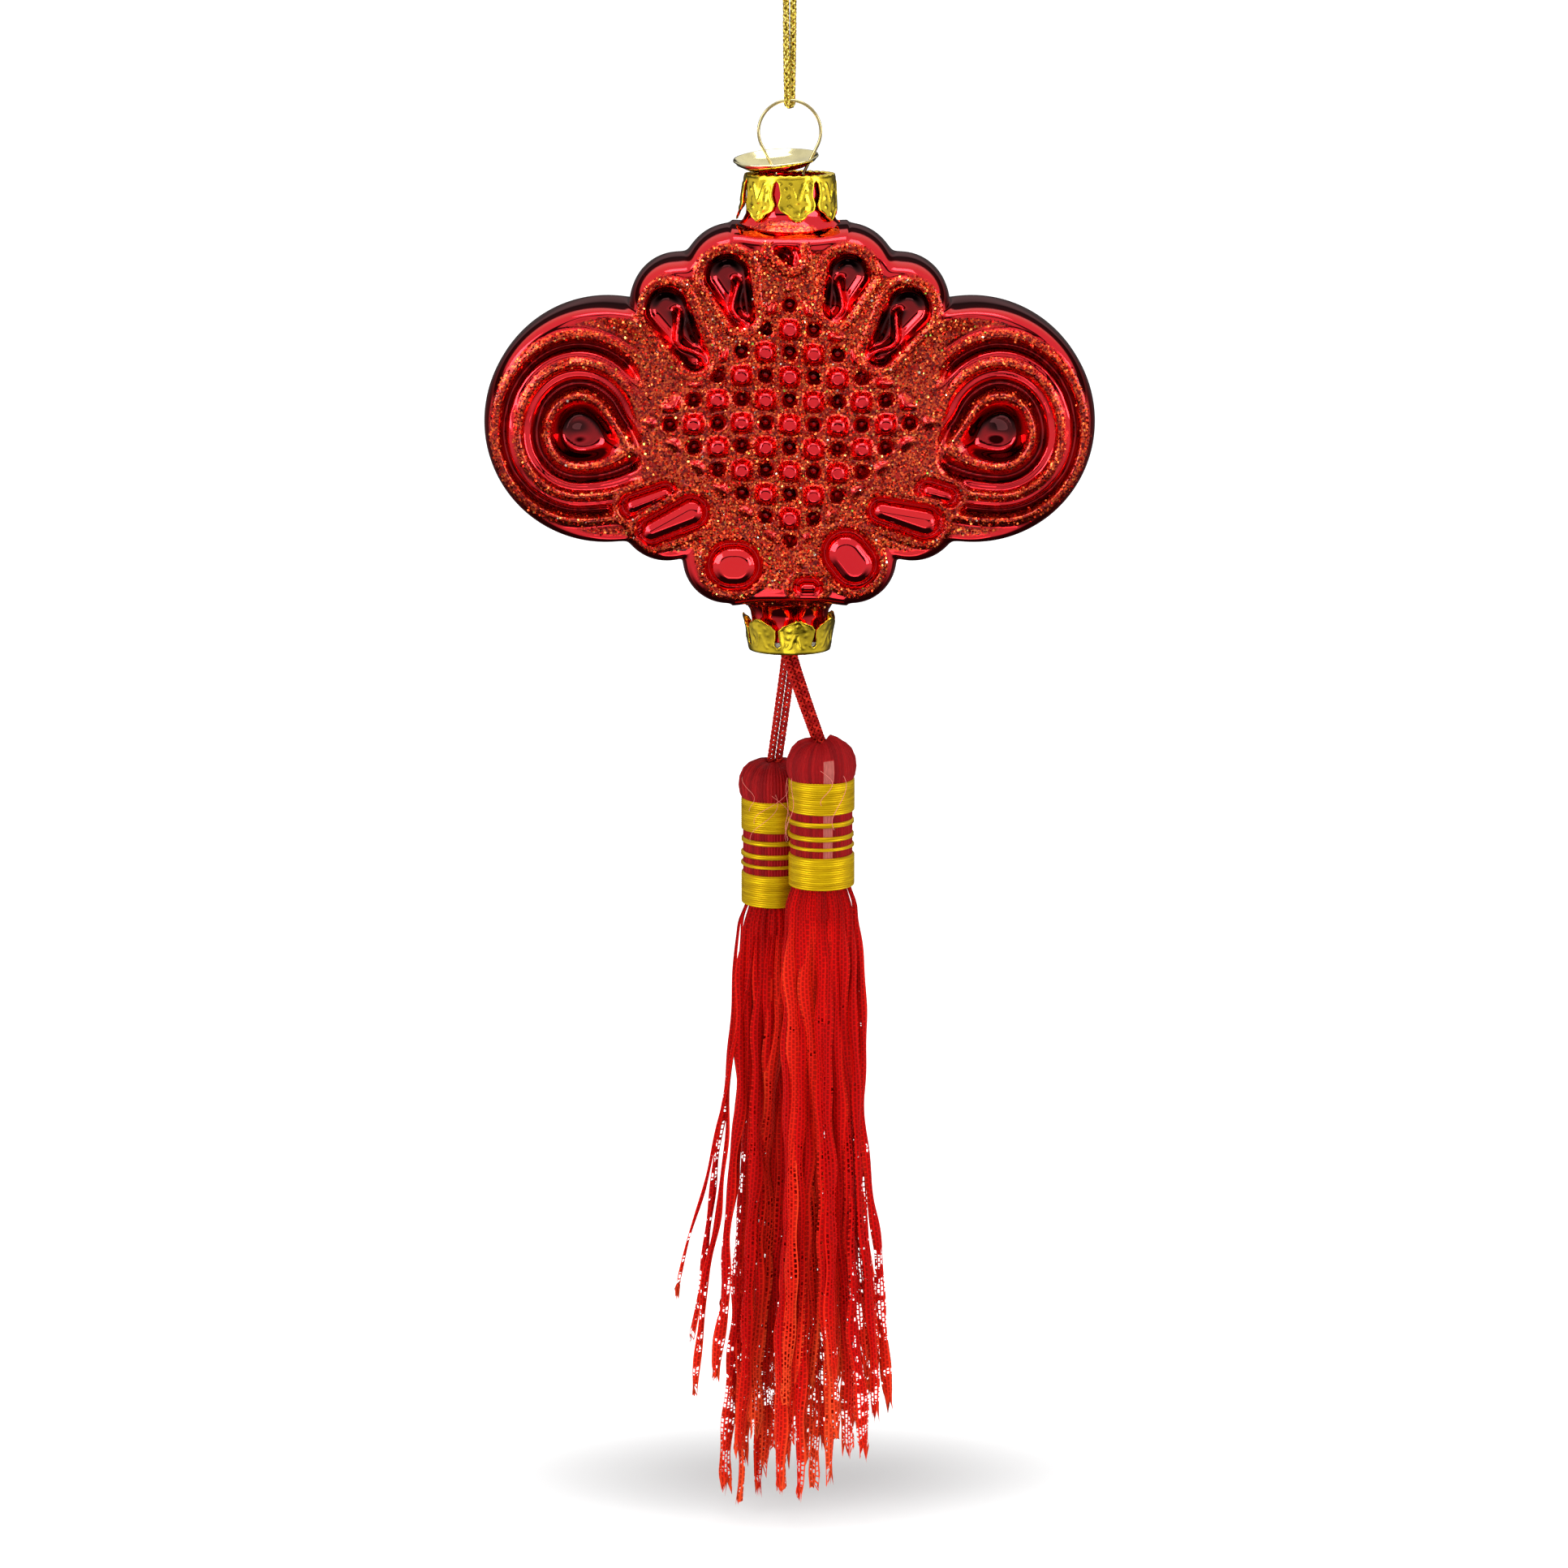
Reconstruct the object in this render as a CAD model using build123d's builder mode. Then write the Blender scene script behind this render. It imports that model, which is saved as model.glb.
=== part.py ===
from build123d import *
import math
import os

# A blown-glass knot ornament that hangs from a tinsel cord, with two tassels below it.
# Millimetres. +Z is up, -Y is the front. The origin is the point of the hanging cord that
# bears on a hook: the underside of the cord at the top of its loop.

# ---------------------------------------------------------------- driving dimensions
# Tinsel hanging cord
tinsel_d = 1.0  # cord diameter
loop_drop = 48.0  # from the bearing point down to the centre of the ring's wire
hook_r = 1.5  # radius that the top of the loop is shaped to
knot_drop = 12.0  # from the bearing point down to the middle of the knot
knot_length = 3.6
knot_d = 2.8
tail_length = 7.0
tail_lean = 38.0  # degrees between a tail and the strand beside it
twist_height = 6.0  # height over which the strands turn from side by side to front and back
fold_clearance = 0.05  # between a cord and the wire or pin that it goes round
bend_share = 0.45  # of the shorter run beside a bend that the bend's arc takes up

# Hanger wire: a ring above the cap and two spring legs inside the neck
wire_d = 0.5
ring_r = 4.95  # centre line
ring_to_cap = 11.6  # from the top of the ring down to the top of the crown
leg_spacing = 4.3  # between the legs where they pass through the dish
leg_spread = 9.2  # between the feet of the legs
leg_length = 10.0  # below the top of the crown
foot_bend = 1.4  # inward bend at the end of a leg
foot_bend_r = 0.5
leg_bend_r = 1.0

# Glass: the round lobes of its right half, from the top neck round to the bottom neck, as
# centre x, height above the middle of the body, and radius
glass_lobes = [
    (9.2, 22.2, 8.1),  # upper inner
    (18.1, 18.1, 7.5),  # upper outer
    (29.9, -0.6, 19.05),  # side
    (20.0, -15.2, 7.6),  # lower outer
    (10.1, -22.6, 7.2),  # lower inner
]
glass_depth = 28.0
glass_wall = 0.9
rim_r = 6.0  # rounding of the front and back edges
notch_r = 1.2  # rounding of the notches between the lobes
top_neck_r = 6.8  # outside
top_neck_rise = 38.05  # from the middle of the body up to the rim of the top neck
bottom_neck_r = 6.1
bottom_neck_drop = 38.05  # from the middle of the body down to the rim of the bottom neck

# Crowns: pressed sheet rings with leaf-shaped tabs
sheet = 0.25
tab_count = 7
tab_turn = 9.0  # degrees that the front tab is turned to the right
slit_width = 0.7
crown_seat = 0.1  # between a crown's flat end and the rim of the neck
top_crown_clearance = 0.3  # between the crown's skirt and the neck
top_crown_lip = 1.0  # width of the turned-in lip on top
top_tab_drop = 7.1  # from the top of the crown to the tips of its tabs
top_tab_root = 1.1  # depth of the plain band above the slits
top_tab_point = 2.2  # height of the point of a tab
glue_gap = 0.5  # between the bottom crown's skirt and the neck
bottom_crown_flare = 0.8  # growth of its radius from the flat end to the tips
bottom_tab_rise = 5.7
bottom_tab_root = 1.3
bottom_tab_point = 1.5
cord_hole_r = 2.4
glue_height = 1.6

# Dish: a loose concave disc that the hanger's legs pass through
dish_r = 6.9
dish_sphere_r = 14.0
dish_shift = (-1.4, 0.4)
dish_lift = -0.15  # of its lowest middle point, above the top of the crown
dish_tilt_back = 8.0  # degrees, rear edge up
dish_tilt_left = 1.5  # degrees, left edge down
dish_slot = (2.0, 2.8)  # width and length of the slot for a leg

# Toggle pin and the cords that hang over it
pin_d = 1.0
pin_length = 8.4
pin_clearance = 0.05  # between the pin and the bottom crown's floor
red_cord_d = 1.1
cord_gap = 0.2  # between two strands that lie side by side
cord_exit_drop = 2.6  # below the pin, where the strands part towards the tassels

# Tassels: the knot of its two strands sits in a cup under the hole in its head
end_knot_r = 2.3
cup_clearance = 0.2  # between the knot and its cup
head_hole_r = 2.0  # just above the knot
head_mouth_r = 2.8  # at the top of the head
head_knot_drop = 3.4  # from the top of the head down to the middle of the knot
yarn_r = 5.0  # over the red yarn, under the gold thread
core_r = 3.8
core_wall = 0.6
core_top_drop = 6.2  # from the top of the head down to the top of the core
yarn_clearance = 0.05  # between the yarn and the core
dome_r = 5.6
dome_height = 6.1  # from the top of the head to its upper thread band
dome_shoulder = (0.86, 0.3)  # a point of the dome's arc: shares of its radius and height
thread_depth = 0.4  # of the wound gold thread
upper_band_height = 5.4
lower_band_height = 5.4
stripe_heights = [0.85, 0.85, 0.6]  # from the top down
stripe_gaps = [1.25, 1.45, 1.0, 1.1]
skirt_gap = 0.4  # between the two skirts
skirt_tuck = 0.2  # how much thinner than the yarn a skirt starts, front to back
skirt_swell = 0.8  # growth of its half width just below the thread
swell_share = 0.06  # of the skirt's length, down to the swell
flat_share = 0.3  # of the skirt's length, down to where it is as flat as it gets

tassels = {
    "left": {
        "axis": (-2.6, 4.3),
        "head_drop": 19.5,  # from the bottom crown's flat end to the top of the head
        "strands": (1, 0),  # direction in which the two strands lie side by side
        "skirt_length": 103.0,
        "skirt_end": (-5.5, 9.5),  # x of its middle and half width, at the lower end
    },
    "right": {
        "axis": (5.2, -4.3),
        "head_drop": 14.5,
        "strands": (0.8, -0.6),
        "skirt_length": 105.0,
        "skirt_end": (7.0, 9.5),
    },
}

# ---------------------------------------------------------------- levels that follow
wire_r = wire_d / 2
tinsel_r = tinsel_d / 2
red_cord_r = red_cord_d / 2
pin_r = pin_d / 2
ring_top = -loop_drop
ring_centre = ring_top - ring_r
crown_top = ring_top - ring_to_cap
top_rim = crown_top - sheet - crown_seat
glass_middle = top_rim - top_neck_rise
bottom_rim = glass_middle - bottom_neck_drop
crown_floor = bottom_rim - crown_seat  # inner face of the bottom crown's disc
crown_base = crown_floor - sheet
pin_level = crown_floor + pin_r + pin_clearance
top_skirt_r = top_neck_r + top_crown_clearance
bottom_skirt_r = bottom_neck_r + glue_gap

os.makedirs("parts", exist_ok=True)


def save(piece, label):
    """Labels a finished piece and writes its STEP file."""
    piece.part.label = label
    export_step(piece.part, f"parts/{label}.step")


def disc(radius, low, high):
    """A plain round disc or post on the Z axis."""
    with BuildPart() as post:
        with BuildSketch(Plane.XY.offset(low)):
            Circle(radius)
        extrude(amount=high - low)
    return post.part


def tube_along(route, radius, name):
    """A round cord along a route, with a check of its volume against section times length."""
    path = route.wires()[0]
    with BuildPart() as tube:
        with BuildSketch(Plane(origin=path @ 0, z_dir=path % 0)):
            Circle(radius)
        sweep(path=path)
    share = tube.part.volume / (path.length * math.pi * radius**2)
    print(f"{name}: length {path.length:.2f}, volume over section times length {share:.4f}")
    return tube


# ---------------------------------------------------------------- tinsel hanging cord
# The loop passes over a hook, and its fold goes under the top of the wire ring. The cord
# starts and ends at the knot, which lies on the right-hand strand.
loop_r = hook_r + tinsel_r
fold_r = wire_r + tinsel_r + fold_clearance
twist_top = ring_top + twist_height
strand_lean = math.asin(loop_r / (loop_drop - hook_r - twist_height))
leave_x = loop_r * math.cos(strand_lean)
leave_z = -hook_r - loop_r * math.sin(strand_lean)


def strand_x(z):
    """How far a strand is from the middle at height z, between the hook and the twist."""
    return leave_x * (z - twist_top) / (leave_z - twist_top)


knot_top = -knot_drop + knot_length / 2
knot_bottom = -knot_drop - knot_length / 2
knot_start = (strand_x(knot_bottom), 0, knot_bottom)
knot_finish = (strand_x(knot_top), 0, knot_top)
twist_bend_r = bend_share * twist_height / math.tan(strand_lean / 2)
print(f"tinsel cord radii: {twist_bend_r:.1f} at the twist, {fold_r} at the ring, {loop_r} at the hook")

with BuildLine() as tinsel_route:
    FilletPolyline(knot_start, (0, fold_r, twist_top), (0, fold_r, ring_top), radius=twist_bend_r)
    ThreePointArc((0, fold_r, ring_top), (0, 0, ring_top - fold_r), (0, -fold_r, ring_top))
    FilletPolyline((0, -fold_r, ring_top), (0, -fold_r, twist_top), (-leave_x, 0, leave_z),
                   radius=twist_bend_r)
    ThreePointArc((-leave_x, 0, leave_z), (0, 0, tinsel_r), (leave_x, 0, leave_z))
    Line((leave_x, 0, leave_z), knot_finish)
tinsel_cord = tube_along(tinsel_route, tinsel_r, "tinsel cord")
save(tinsel_cord, "gold_cord")

# An overhand knot joins the two ends of the cord, and its tails stand off the strand.
knot_middle = (strand_x(-knot_drop), 0, -knot_drop)
knot_line = Vector(*knot_finish) - Vector(*knot_start)
with BuildPart() as tinsel_knot:
    for place, radius in ((knot_start, tinsel_r), (knot_middle, knot_d / 2), (knot_finish, tinsel_r)):
        with BuildSketch(Plane(origin=place, z_dir=knot_line, x_dir=(0, 1, 0))):
            Circle(radius)
    loft(ruled=True)
    for side in (-1, 1):
        lean = math.radians(tail_lean)
        tail_line = Vector(math.sin(lean), side * math.sin(lean) / 2, -math.cos(lean))
        with BuildSketch(Plane(origin=knot_middle, z_dir=tail_line)):
            Circle(tinsel_r)
        extrude(amount=tail_length)
save(tinsel_knot, "gold_cord_knot")

# ---------------------------------------------------------------- hanger wire
# The ring's ends run inwards to the two slots in the dish, and the legs spread again inside
# the neck.
leg_x = leg_spacing / 2
foot_x = leg_spread / 2
foot_level = crown_top - leg_length
reach = math.hypot(leg_x, ring_centre - crown_top)
tangent = math.atan2(leg_x, ring_centre - crown_top) + math.acos(ring_r / reach)
tangent_x = ring_r * math.sin(tangent)
tangent_z = ring_centre - ring_r * math.cos(tangent)


def leg_points(side):
    """Points of one leg, from its foot up to where it joins the ring."""
    return [
        (side * (foot_x - foot_bend), 0, foot_level - foot_bend / 2),
        (side * foot_x, 0, foot_level),
        (side * leg_x, 0, crown_top),
        (side * tangent_x, 0, tangent_z),
    ]


with BuildLine() as hanger_route:
    FilletPolyline(*leg_points(-1), radius=[foot_bend_r, leg_bend_r])
    ThreePointArc((-tangent_x, 0, tangent_z), (0, 0, ring_top), (tangent_x, 0, tangent_z))
    FilletPolyline(*reversed(leg_points(1)), radius=[leg_bend_r, foot_bend_r])
save(tube_along(hanger_route, wire_r, "hanger wire"), "ring_wire")


# ---------------------------------------------------------------- crowns
def cut_tabs(slit_end, tip, point, radius):
    """What is cut from a crown's skirt to leave its pointed tabs. The slits run from
    slit_end towards tip, and each tab ends in a point of the given height."""
    towards = math.copysign(1, tip - slit_end)
    shoulder = tip - towards * point
    half_pitch = math.pi * radius / tab_count
    with BuildPart() as waste:
        for k in range(tab_count):
            angle = math.radians(tab_turn) + math.tau * (k + 0.5) / tab_count - math.pi / 2
            outward = (math.cos(angle), math.sin(angle), 0)
            across = (-math.sin(angle), math.cos(angle), 0)
            with BuildSketch(Plane(origin=(0, 0, 0), x_dir=across, z_dir=outward)):
                with BuildLine():
                    Polyline(
                        (-slit_width / 2, slit_end),
                        (slit_width / 2, slit_end),
                        (slit_width / 2, shoulder),
                        (half_pitch, tip),
                        (half_pitch, tip + towards),
                        (-half_pitch, tip + towards),
                        (-half_pitch, tip),
                        (-slit_width / 2, shoulder),
                        close=True,
                    )
                make_face()
            extrude(amount=2 * radius)
    return waste.part


top_tips = crown_top - top_tab_drop
with BuildPart() as upper_crown:
    add(disc(top_skirt_r + sheet, top_tips, crown_top))
    add(disc(top_skirt_r, top_tips, crown_top - sheet), mode=Mode.SUBTRACT)
    add(disc(top_skirt_r - top_crown_lip, crown_top - sheet, crown_top), mode=Mode.SUBTRACT)
    add(cut_tabs(crown_top - top_tab_root, top_tips, top_tab_point, top_skirt_r), mode=Mode.SUBTRACT)
save(upper_crown, "upper_crown")

bottom_tips = crown_base + bottom_tab_rise
with BuildPart() as lower_crown:
    with BuildSketch(Plane.XY.offset(crown_base)):
        Circle(bottom_skirt_r + sheet)
    with BuildSketch(Plane.XY.offset(bottom_tips)):
        Circle(bottom_skirt_r + sheet + bottom_crown_flare)
    loft()
    with BuildSketch(Plane.XY.offset(crown_floor)):
        Circle(bottom_skirt_r)
    with BuildSketch(Plane.XY.offset(bottom_tips)):
        Circle(bottom_skirt_r + bottom_crown_flare)
    loft(mode=Mode.SUBTRACT)
    add(disc(cord_hole_r, crown_base, crown_floor), mode=Mode.SUBTRACT)
    add(cut_tabs(crown_base + bottom_tab_root, bottom_tips, bottom_tab_point,
                 bottom_skirt_r + bottom_crown_flare), mode=Mode.SUBTRACT)
save(lower_crown, "lower_crown")

# A bead of glue holds the bottom crown on its neck.
with BuildPart() as glue_bead:
    add(disc(bottom_skirt_r, bottom_rim, bottom_rim + glue_height))
    add(disc(bottom_neck_r, bottom_rim, bottom_rim + glue_height), mode=Mode.SUBTRACT)
save(glue_bead, "lower_glue_ring")

# ---------------------------------------------------------------- dish
dish_lean = Location((0, 0, 0), (-dish_tilt_back, -dish_tilt_left, 0))
dish_depth = dish_sphere_r - math.sqrt(dish_sphere_r**2 - dish_r**2)
with BuildPart() as flat_dish:
    with BuildSketch(Plane.XZ):
        with BuildLine():
            inner_r = dish_sphere_r - sheet
            inner_half = dish_r * inner_r / dish_sphere_r
            inner_level = dish_sphere_r - math.sqrt(inner_r**2 - inner_half**2)
            RadiusArc((0, 0), (dish_r, dish_depth), -dish_sphere_r)
            Line((dish_r, dish_depth), (inner_half, inner_level))
            RadiusArc((inner_half, inner_level), (0, sheet), inner_r)
            Line((0, sheet), (0, 0))
        make_face()
    revolve(axis=Axis.Z)
tilted_dish = Location((*dish_shift, crown_top + dish_lift)) * dish_lean * flat_dish.part
slot_width, slot_length = dish_slot
with BuildPart() as dish:
    add(tilted_dish)
    with BuildSketch(Plane.XY.offset(crown_top - dish_depth)):
        with Locations((-leg_x, 0), (leg_x, 0)):
            SlotOverall(slot_length, slot_width, rotation=90)
    extrude(amount=4 * dish_depth, mode=Mode.SUBTRACT)
save(dish, "cap_dish")


# ---------------------------------------------------------------- glass
def notch_between(first, second):
    """The outer crossing of two lobes' circles."""
    (x0, z0, r0), (x1, z1, r1) = first, second
    apart = math.hypot(x1 - x0, z1 - z0)
    along = (apart**2 + r0**2 - r1**2) / (2 * apart)
    aside = math.sqrt(r0**2 - along**2)
    across, up = (x1 - x0) / apart, (z1 - z0) / apart
    crossings = [(x0 + across * along - s * up * aside, z0 + up * along + s * across * aside)
                 for s in (-1, 1)]
    return max(crossings, key=lambda point: math.hypot(*point))


def lobed_outline(inset):
    """The outline of the body in its middle plane, moved in by inset."""
    lobes = [(x, z, radius - inset) for x, z, radius in glass_lobes]
    notches = [notch_between(*pair) for pair in zip(lobes, lobes[1:])]
    top_x, top_z, top_r = lobes[0]
    low_x, low_z, low_r = lobes[-1]
    lobe_ends = [(top_x, top_z + top_r), *notches, (low_x, low_z - low_r)]
    with BuildLine() as half:
        Line((0, lobe_ends[0][1]), lobe_ends[0])
        for (x, z, radius), start, end in zip(lobes, lobe_ends, lobe_ends[1:]):
            reach = 1 + radius / math.hypot(x, z)
            ThreePointArc(start, (x * reach, z * reach), end)
        Line(lobe_ends[-1], (0, lobe_ends[-1][1]))
        mirror(about=Plane.YZ)
    with BuildSketch() as outline:
        add(half.line)
        make_face()
        corners = [v for v in outline.vertices()
                   if any(math.hypot(abs(v.X) - x, v.Y - z) < 0.001 for x, z in notches)]
        fillet(corners, radius=notch_r + inset)
    return outline.sketch


def glass_form(inset):
    """The outside of the glass, or with an inset the space inside it, which runs out of
    both necks."""
    upright = Plane(origin=(0, 0, glass_middle), x_dir=(1, 0, 0), z_dir=(0, -1, 0))
    with BuildPart() as form:
        with BuildSketch(upright):
            add(lobed_outline(inset))
        extrude(amount=glass_depth / 2 - inset, both=True)
        fillet(form.faces().filter_by(Axis.Y).edges(), radius=rim_r - inset)
        add(disc(top_neck_r - inset, glass_middle, top_rim + inset))
        add(disc(bottom_neck_r - inset, bottom_rim - inset, glass_middle))
    return form.part.solid()


with BuildPart() as glass_body:
    add(glass_form(0))
    add(glass_form(glass_wall), mode=Mode.SUBTRACT)
save(glass_body, "glass_body")

# ---------------------------------------------------------------- toggle pin
with BuildPart() as toggle_pin:
    with BuildSketch(Plane(origin=(-pin_length / 2, 0, pin_level), z_dir=(1, 0, 0))):
        Circle(pin_r)
    extrude(amount=pin_length)
save(toggle_pin, "toggle_pin")

# ---------------------------------------------------------------- tassel cords
# Each cord goes over the pin, with one end tied in each tassel.
turn_r = pin_r + red_cord_r + fold_clearance
strand_half = (red_cord_d + cord_gap) / 2
exit_level = pin_level - cord_exit_drop


def knot_place(side):
    """The middle of the knot inside a tassel's head."""
    x, y = tassels[side]["axis"]
    return Vector(x, y, crown_base - tassels[side]["head_drop"] - head_knot_drop)


def cord_end(side, number):
    """Where a strand enters its tassel's knot, on the top of the knot."""
    dx, dy = tassels[side]["strands"]
    away = -1 if number == 1 else 1
    rise = math.sqrt(end_knot_r**2 - strand_half**2)
    return knot_place(side) + Vector(away * dx * strand_half, away * dy * strand_half, rise)


for number in (1, 2):
    over_x = -strand_half if number == 1 else strand_half
    bends = {}
    for side, y in (("left", turn_r), ("right", -turn_r)):
        away = cord_end(side, number) - Vector(over_x, y, exit_level)
        turn = math.radians(away.get_angle(Vector(0, 0, -1)))
        bends[side] = bend_share * cord_exit_drop / math.tan(turn / 2)
    print(f"tassel cord {number} radii: {turn_r:.2f} over the pin,",
          f"{bends['left']:.1f} to the left, {bends['right']:.1f} to the right")
    with BuildLine() as red_route:
        FilletPolyline(cord_end("left", number), (over_x, turn_r, exit_level),
                       (over_x, turn_r, pin_level), radius=bends["left"])
        ThreePointArc((over_x, turn_r, pin_level), (over_x, 0, pin_level + turn_r),
                      (over_x, -turn_r, pin_level))
        FilletPolyline((over_x, -turn_r, pin_level), (over_x, -turn_r, exit_level),
                       cord_end("right", number), radius=bends["right"])
    red_cord = tube_along(red_route, red_cord_r, f"tassel cord {number}")
    with BuildPart() as trimmed_cord:
        add(red_cord.part)
        for side in tassels:
            with Locations(knot_place(side)):
                Sphere(end_knot_r, mode=Mode.SUBTRACT)
    save(trimmed_cord, f"tassel_cord_{number}")


# ---------------------------------------------------------------- tassels
def ring_band(low, high):
    """A band of wound thread between two heights."""
    with BuildPart() as band:
        add(disc(yarn_r + thread_depth, low, high))
        add(disc(yarn_r, low, high), mode=Mode.SUBTRACT)
    return band.part


def save_at(part, place, label):
    """Writes a piece that was made on the Z axis, moved to its place."""
    with BuildPart() as placed:
        add(part.moved(place))
    save(placed, label)


for side, facts in tassels.items():
    x, y = facts["axis"]
    place = Location((x, y, 0))
    head_top = crown_base - facts["head_drop"]
    knot_level = head_top - head_knot_drop
    core_top = head_top - core_top_drop
    band_high = head_top - dome_height
    band_low = band_high - upper_band_height
    stripes_low = band_low - sum(stripe_heights) - sum(stripe_gaps)
    skirt_top = stripes_low - lower_band_height

    # knot of the two strands
    with BuildPart() as end_knot:
        with Locations(knot_place(side)):
            Sphere(end_knot_r)
    save(end_knot, f"{side}_cord_knot")

    # stiff tube that the yarn and the thread are wound on
    with BuildPart() as core_tube:
        add(disc(core_r, skirt_top, core_top))
        add(disc(core_r - core_wall, skirt_top, core_top), mode=Mode.SUBTRACT)
    save_at(core_tube.part, place, f"{side}_core_tube")

    # yarn that is gathered over the core: a domed head, with a sleeve below it
    sleeve_r = core_r + yarn_clearance
    sleeve_top = core_top + yarn_clearance
    cup_r = end_knot_r + cup_clearance
    cup_rise = math.sqrt(cup_r**2 - head_hole_r**2)
    shoulder_r = dome_r * dome_shoulder[0]
    shoulder_level = head_top - dome_height * dome_shoulder[1]
    with BuildPart() as head_yarn:
        with BuildSketch(Plane.XZ):
            with BuildLine():
                Polyline((head_hole_r, knot_level + cup_rise), (head_mouth_r, head_top))
                ThreePointArc((head_mouth_r, head_top), (shoulder_r, shoulder_level), (dome_r, band_high))
                Polyline((dome_r, band_high), (yarn_r, band_high), (yarn_r, skirt_top),
                         (sleeve_r, skirt_top), (sleeve_r, sleeve_top), (0, sleeve_top),
                         (0, knot_level - cup_r))
                ThreePointArc((0, knot_level - cup_r), (cup_r, knot_level),
                              (head_hole_r, knot_level + cup_rise))
            make_face()
        revolve(axis=Axis.Z)
    save_at(head_yarn.part, place, f"{side}_head_yarn")

    # wound gold thread: two bands, and three thin stripes between them
    save_at(ring_band(band_low, band_high), place, f"{side}_upper_wrap")
    with BuildPart() as stripes:
        level = band_low
        for height, gap in zip(stripe_heights, stripe_gaps):
            add(ring_band(level - gap - height, level - gap))
            level -= gap + height
    save_at(stripes.part, place, f"{side}_stripe_wraps")
    save_at(ring_band(skirt_top, stripes_low), place, f"{side}_lower_wrap")

    # skirt of loose yarn, flattened where the two tassels lie against each other
    end_x, end_half = facts["skirt_end"]
    flat = abs(y) - skirt_gap / 2
    sections = [  # share of the length, half width, half depth
        (0, yarn_r, yarn_r - skirt_tuck),
        (swell_share, yarn_r + skirt_swell, (yarn_r + flat) / 2),
        (flat_share, (yarn_r + end_half) / 2, flat),
        (1, end_half, flat),
    ]
    with BuildPart() as skirt:
        for share, half_width, half_depth in sections:
            with BuildSketch(Plane.XY.offset(skirt_top - share * facts["skirt_length"])):
                with Locations((x + share * (end_x - x), y)):
                    Ellipse(half_width, half_depth)
        loft()
    save(skirt, f"{side}_skirt")
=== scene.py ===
import math
import random

import bmesh
import bpy
import numpy as np
from mathutils import Matrix, Vector


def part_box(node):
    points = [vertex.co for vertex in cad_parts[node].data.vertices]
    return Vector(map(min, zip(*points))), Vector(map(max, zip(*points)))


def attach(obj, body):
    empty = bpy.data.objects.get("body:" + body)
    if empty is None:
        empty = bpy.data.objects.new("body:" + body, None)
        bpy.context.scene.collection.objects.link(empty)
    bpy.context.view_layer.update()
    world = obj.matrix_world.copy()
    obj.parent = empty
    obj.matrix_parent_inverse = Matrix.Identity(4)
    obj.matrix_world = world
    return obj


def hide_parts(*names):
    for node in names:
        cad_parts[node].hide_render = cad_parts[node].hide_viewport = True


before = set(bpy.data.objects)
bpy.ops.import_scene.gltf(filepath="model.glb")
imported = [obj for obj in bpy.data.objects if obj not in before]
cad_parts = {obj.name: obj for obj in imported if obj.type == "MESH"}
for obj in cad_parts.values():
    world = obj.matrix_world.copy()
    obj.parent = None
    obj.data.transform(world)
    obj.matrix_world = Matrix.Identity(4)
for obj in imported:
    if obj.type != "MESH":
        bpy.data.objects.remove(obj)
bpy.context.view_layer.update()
MM = 0.001

# ---------------------------------------------------------------- camera, light and floor
# The ornament hangs on its cord in front of a seamless white sweep. Large soft lamps stand on
# both sides and above it, with a small one low in front, and a dark band round the room gives
# the mirror its blacks.
ring_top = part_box("ring_wire")[1].z
skirt_low = min(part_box(f"{side}_skirt")[0].z for side in ("left", "right"))
look_at = Vector((-0.9 * MM, 0, ring_top - 111.3 * MM))
camera_height = math.radians(12)
camera_distance = 0.715
camera_data = bpy.data.cameras.new("camera")
camera_data.lens = 100
camera_data.sensor_width = 36
camera = bpy.data.objects.new("camera", camera_data)
bpy.context.scene.collection.objects.link(camera)
toward_camera = Vector((0, -math.cos(camera_height), math.sin(camera_height)))
camera.location = look_at + camera_distance * toward_camera
camera.rotation_euler = (math.pi / 2 - camera_height, 0, 0)
bpy.context.scene.camera = camera
bpy.context.scene.view_settings.view_transform = "Standard"


def area_lamp(name, place, size, power):
    """A square soft lamp that faces the ornament."""
    data = bpy.data.lights.new(name, "AREA")
    data.size = size
    data.energy = power
    lamp = bpy.data.objects.new(name, data)
    bpy.context.scene.collection.objects.link(lamp)
    lamp.location = place
    lamp.rotation_euler = (look_at - Vector(place)).to_track_quat("-Z", "Y").to_euler()


area_lamp("left_lamp", (-0.75, -0.5, 0.2), 0.55, 5)
area_lamp("right_lamp", (0.85, -0.4, 0.1), 0.5, 4)
area_lamp("top_lamp", (0.02, -0.1, 0.8), 0.7, 7)
area_lamp("low_lamp", (0, -0.27, -0.262), 0.12, 0.06)


def set_inputs(tree, node, **inputs):
    """Gives inputs of a node constants, or links the outputs of other nodes to them."""
    for name, value in inputs.items():
        socket = node.inputs[name.replace("_", " ")]
        if isinstance(value, bpy.types.NodeSocket):
            tree.links.new(value, socket)
        else:
            socket.default_value = value


def add_node(tree, kind, settings=None, **inputs):
    """A shader node, with its settings made before its inputs."""
    node = tree.nodes.new("ShaderNode" + kind)
    for name, value in (settings or {}).items():
        setattr(node, name, value)
    set_inputs(tree, node, **inputs)
    return node


def calculate(tree, operation, first, second):
    """The result of a Math node between two numbers or outputs."""
    node = add_node(tree, "Math", {"operation": operation})
    for socket, value in zip(node.inputs, (first, second)):
        if isinstance(value, bpy.types.NodeSocket):
            tree.links.new(value, socket)
        else:
            socket.default_value = value
    return node.outputs["Value"]


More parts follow.
